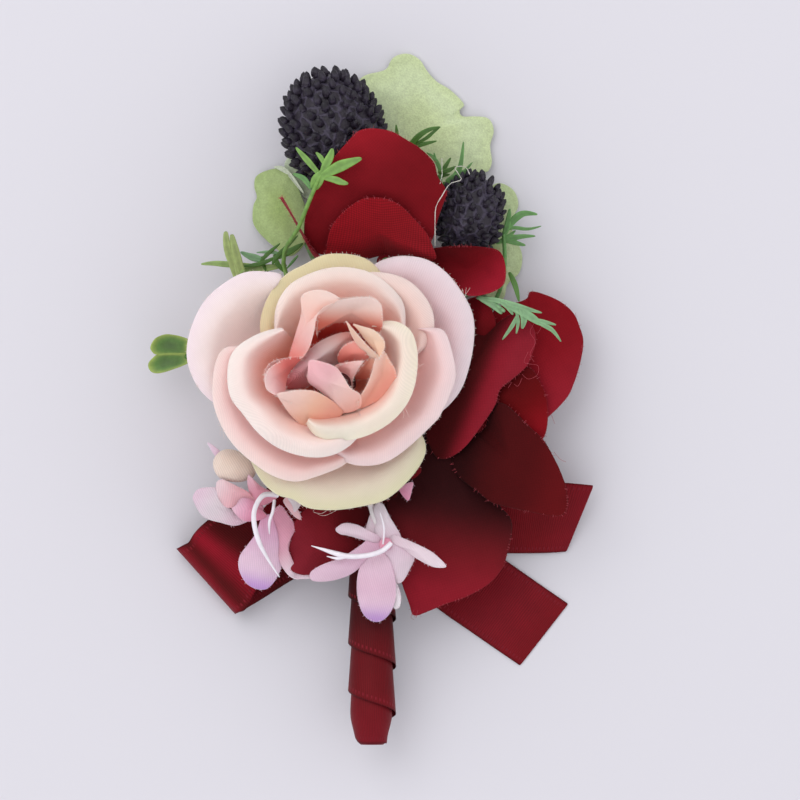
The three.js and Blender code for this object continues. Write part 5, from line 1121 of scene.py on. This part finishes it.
bm = new_sheet()
ball = bmesh.ops.create_uvsphere(bm, u_segments=32, v_segments=24, radius=1.0)["verts"]
paint(bm, ball, colour(236, 216, 202))
axis = (at(214, 459, 68) - at(252, 471, 66)).normalized().to_track_quat("X", "Z").to_matrix().to_4x4()
for vert in ball:
    for loop in vert.link_loops:
        loop[bm.loops.layers.uv["cloth"]].uv = (vert.co.x * 0.004, vert.co.y * 0.003)
    vert.co = Vector((vert.co.x * (1 - 0.12 * vert.co.x) * 0.0043, vert.co.y * 0.003, vert.co.z * 0.0028))
    vert.co += vert.co.normalized() * 0.0003 * noise.noise(vert.co * 400)
bmesh.ops.transform(bm, matrix=Matrix.Translation(at(231.5, 465.5, 68)) @ axis, verts=ball)
lay(bm, outlined([(207, 443, 64), (212, 444.5, 65), (219, 450, 66), (228, 460, 66), (222, 464, 65),
                  (214, 455, 64)], (216, 452, 65), 1, 0.5, 3),
    fade((208, 444), (224, 462), [(236, 206, 226), (226, 178, 204)]), (10, 10), 0.00025, 0.3, at(234, 465))
build("cream_bud_cloth", bm, pink_cloth, "cream_bud")


# Ribbon. One length of burgundy satin, 15 mm wide with a picot edge of small stitches: tied in a bow
# round its waist by a narrow knot, and wound down the stem to a folded tip.
RIBBON = 0.015
rib_pitch, stitch_pitch, seam_aside = 0.00039, 0.0008, 0.0064
satin, tree, shader = new_material("burgundy satin")
toned, place = uneven(tree, node(tree, "VertexColor", layer_name="tint")["Color"], 260, 0.14)
flat = node(tree, "UVMap", uv_map="cloth")["UV"]
split = node(tree, "SeparateXYZ", {0: flat})
turns = reckon(tree, "MULTIPLY", split[0], 2 * math.pi / rib_pitch)
push = reckon(tree, "MULTIPLY_ADD", noisy(tree, flat, 700.0, 2.0)["Fac"], 3.0, turns)
rib = ramp(tree, reckon(tree, "SINE", push), -1.0, 1.0)
aside = reckon(tree, "ABSOLUTE", split[1])
off_seam = reckon(tree, "ABSOLUTE", reckon(tree, "SUBTRACT", aside, seam_aside))
beat = reckon(tree, "SINE", reckon(tree, "MULTIPLY", split[0], 2 * math.pi / stitch_pitch))
in_seam = ramp(tree, off_seam, 0.00018, 0.00036, 1.0, 0.0)
stitch = reckon(tree, "MULTIPLY", ramp(tree, beat, 0.1, 0.6), in_seam)
# The ribbon is darkened towards its edges, painted shade along them.
painted_edge_shade = ramp(tree, aside, 0.0069, 0.0074, 1.0, 0.6)
shade = reckon(tree, "MULTIPLY", ramp(tree, rib, 0.0, 1.0, 0.72, 1.0), painted_edge_shade)
sewn = node(tree, "Mix", {"Factor": stitch, 6: dimmed(tree, toned, shade), 7: colour(118, 24, 36)},
            data_type="RGBA")[2]
raised_stitch = reckon(tree, "MULTIPLY_ADD", stitch, 1.5, rib)
set_inputs(tree, shader, {"Base Color": sewn, "Normal": relief(tree, raised_stitch, 0.00004, 0.8),
                          "Roughness": 0.5, "Specular IOR Level": 0.1, "Anisotropic": 0.5})

# The bow's line, in mm up from the table: each row's place, height, turn in degrees, share of the
# full width, tilt and tint. It runs under the knot, round the loop and back over the knot.
on_table, under_waist, over_waist, on_tail, fold_radius = 0.225, 1.025, 3.575, 3.75, 2.6
loop_top = on_table + 2 * fold_radius
# Beside the plain wine, the tints paint light on the satin: a shaded wine where the loop lies in shade under
# the flowers and at the fold, and a bright highlight and a softer sheen where the satin catches the light.
wine, shaded_wine, sheen_highlight_wine, soft_sheen_wine = (122, 12, 24), (92, 5, 12), (152, 18, 38), (130, 18, 32)
fold_start, fold_end = at(262, 553), at(217, 576)
outward = (fold_end - fold_start).normalized()
bow_rows = [
    (at(545, 636), on_table, 52, 1.0, 0, wine), (at(500, 605), on_table, 54, 1.0, 0, soft_sheen_wine),
    (at(455, 573), on_table, 56, 1.0, 0, wine), (at(422, 545), on_table, 62, 0.9, 0, wine),
    (at(401, 514), under_waist, 80, 0.7, 0, wine), (at(387, 506), under_waist, 90, 0.58, 0, wine),
    (at(358, 506), under_waist, 90, 0.58, 0, wine), (at(336, 511), under_waist, 100, 0.75, 0, wine),
    (at(308, 527), on_table, 114, 0.95, 0, wine), (fold_start, on_table, 118, 1.0, 0, shaded_wine),
]
for angle, tint in ((-90, wine), (-45, wine), (0, soft_sheen_wine), (45, soft_sheen_wine), (90, shaded_wine)):
    turn = math.radians(angle)
    bow_rows.append((fold_end + outward * fold_radius * 0.001 * math.cos(turn),
                     on_table + fold_radius * (1 + math.sin(turn)), 132, 1.12, 0, tint))
bow_rows += [
    (at(226, 560), loop_top, 140, 1.06, 0, sheen_highlight_wine), (at(237, 547), loop_top, 143, 1.03, 0, shaded_wine),
    (at(255, 534), loop_top, 136, 1.0, 0, shaded_wine), (at(284, 521), 5.0, 122, 0.95, 0, wine),
    (at(310, 514), 4.5, 112, 0.9, 0, wine), (at(336, 510), over_waist, 100, 0.75, 0, wine),
    (at(358, 505), over_waist, 90, 0.58, 0, wine), (at(387, 505), over_waist, 90, 0.58, 0, wine),
    (at(410, 508), over_waist, 88, 0.75, 4, wine), (at(450, 513), over_waist, 86, 1.0, 14, wine),
    (at(500, 517), on_tail, 85, 1.0, 20, wine), (at(545, 518), on_tail, 80, 1.0, 22, wine),
    (at(581, 519), on_tail, 68, 1.0, 24, soft_sheen_wine),
]
bow_line = [Vector((place.x, place.y, height * 0.001)) for place, height, *rest in bow_rows]
bow_twist = [Vector((turn, tilt, share)) for place, height, turn, share, tilt, tint in bow_rows]
bow_tints = tint_steps([row[5] for row in bow_rows])
reached = [0.0]
for a, b in zip(bow_line, bow_line[1:]):
    reached.append(reached[-1] + (b - a).length)
bow_length = reached[-1]


def row_share(p):
    """The share of the rows passed at a share of the ribbon's own length."""
    way = (p + 1) / 2 * bow_length
    k = min(max(bisect.bisect_right(reached, way), 1), len(reached) - 1)
    return (k - 1 + (way - reached[k - 1]) / (reached[k] - reached[k - 1])) / (len(reached) - 1)


def bow_surface(p, q):
    share = row_share(p)
    spot = along(bow_line, share)
    spot.z = max(spot.z, on_table * 0.001)
    turn, tilt, width = along(bow_twist, share)
    turn, tilt = math.radians(turn), math.radians(tilt)
    across = Vector((math.cos(tilt) * math.cos(turn), math.cos(tilt) * math.sin(turn), math.sin(tilt)))
    spot += across * q * width * RIBBON / 2
    spot.z += 0.0004 * (1 - min(1, max(0, (width - 0.58) / 0.4))) * math.cos(q * 9)
    return spot


bm = new_sheet()
lay(bm, bow_surface, lambda p, q, spot: along(bow_tints, row_share(p)), (260, 12), 0.00025,
    flat=(bow_length, RIBBON))
bow = build("ribbon_bow_satin", bm, satin, "ribbon_bow")

# The stem's ribbon, in mm: where it is wound from and to along the stem, how far each turn goes down,
# the stem's middle, and the radius of the ribbon's upper edge and how much wider its lower edge is.
wrap_top, wrap_bottom, wrap_pitch = -25.9527, -65.2527, 9.0
stem_x, stem_height, wrap_inner, wrap_rise = -0.0945, 10.583, 3.475, 1.1
ribbon_mm, hidden_share, taper = 15, 0.15, 6


def wrap_surface(p, q):
    drop = wrap_top - wrap_bottom + ribbon_mm * (1 - 2 * hidden_share)
    turn = 2 * math.pi * (p + 1) / 2 * drop / wrap_pitch
    upper = wrap_top + ribbon_mm * (1 - hidden_share) - wrap_pitch * turn / (2 * math.pi)
    first = max(0.0, (upper - wrap_top) / ribbon_mm)
    last = min(1.0, (upper - wrap_bottom) / ribbon_mm)
    share = first + (last - first) * (q + 1) / 2
    y = upper - ribbon_mm * share
    near = min(1.0, max(0.0, (wrap_bottom + taper - y) / taper))
    radius = wrap_inner + wrap_rise * share - 1.5 * near * near * (3 - 2 * near)
    return Vector((stem_x - radius * math.cos(turn), y, stem_height + radius * math.sin(turn))) * 0.001


bm = new_sheet()
# The wrap's tint darkens towards its top, painted shade under the flowers, and grows lighter down the stem.
wrap_tint_shaded_above = fade((372, 590), (372, 740), [(66, 6, 10), (74, 8, 13), (102, 14, 22), (108, 16, 24),
                                          (118, 18, 28), (124, 20, 32)])
lay(bm, wrap_surface, wrap_tint_shaded_above, (260, 8), 0.0003, flat=(0.15, RIBBON))
wrap = build("stem_wrap_satin", bm, satin, "stem_ribbon_wrap")
finish_nodes(plain_finish("folded satin", (112, 16, 28), 0.45, patch=500, Specular_IOR_Level=0.1),
             "stem_tip_fold", "ribbon_knot")
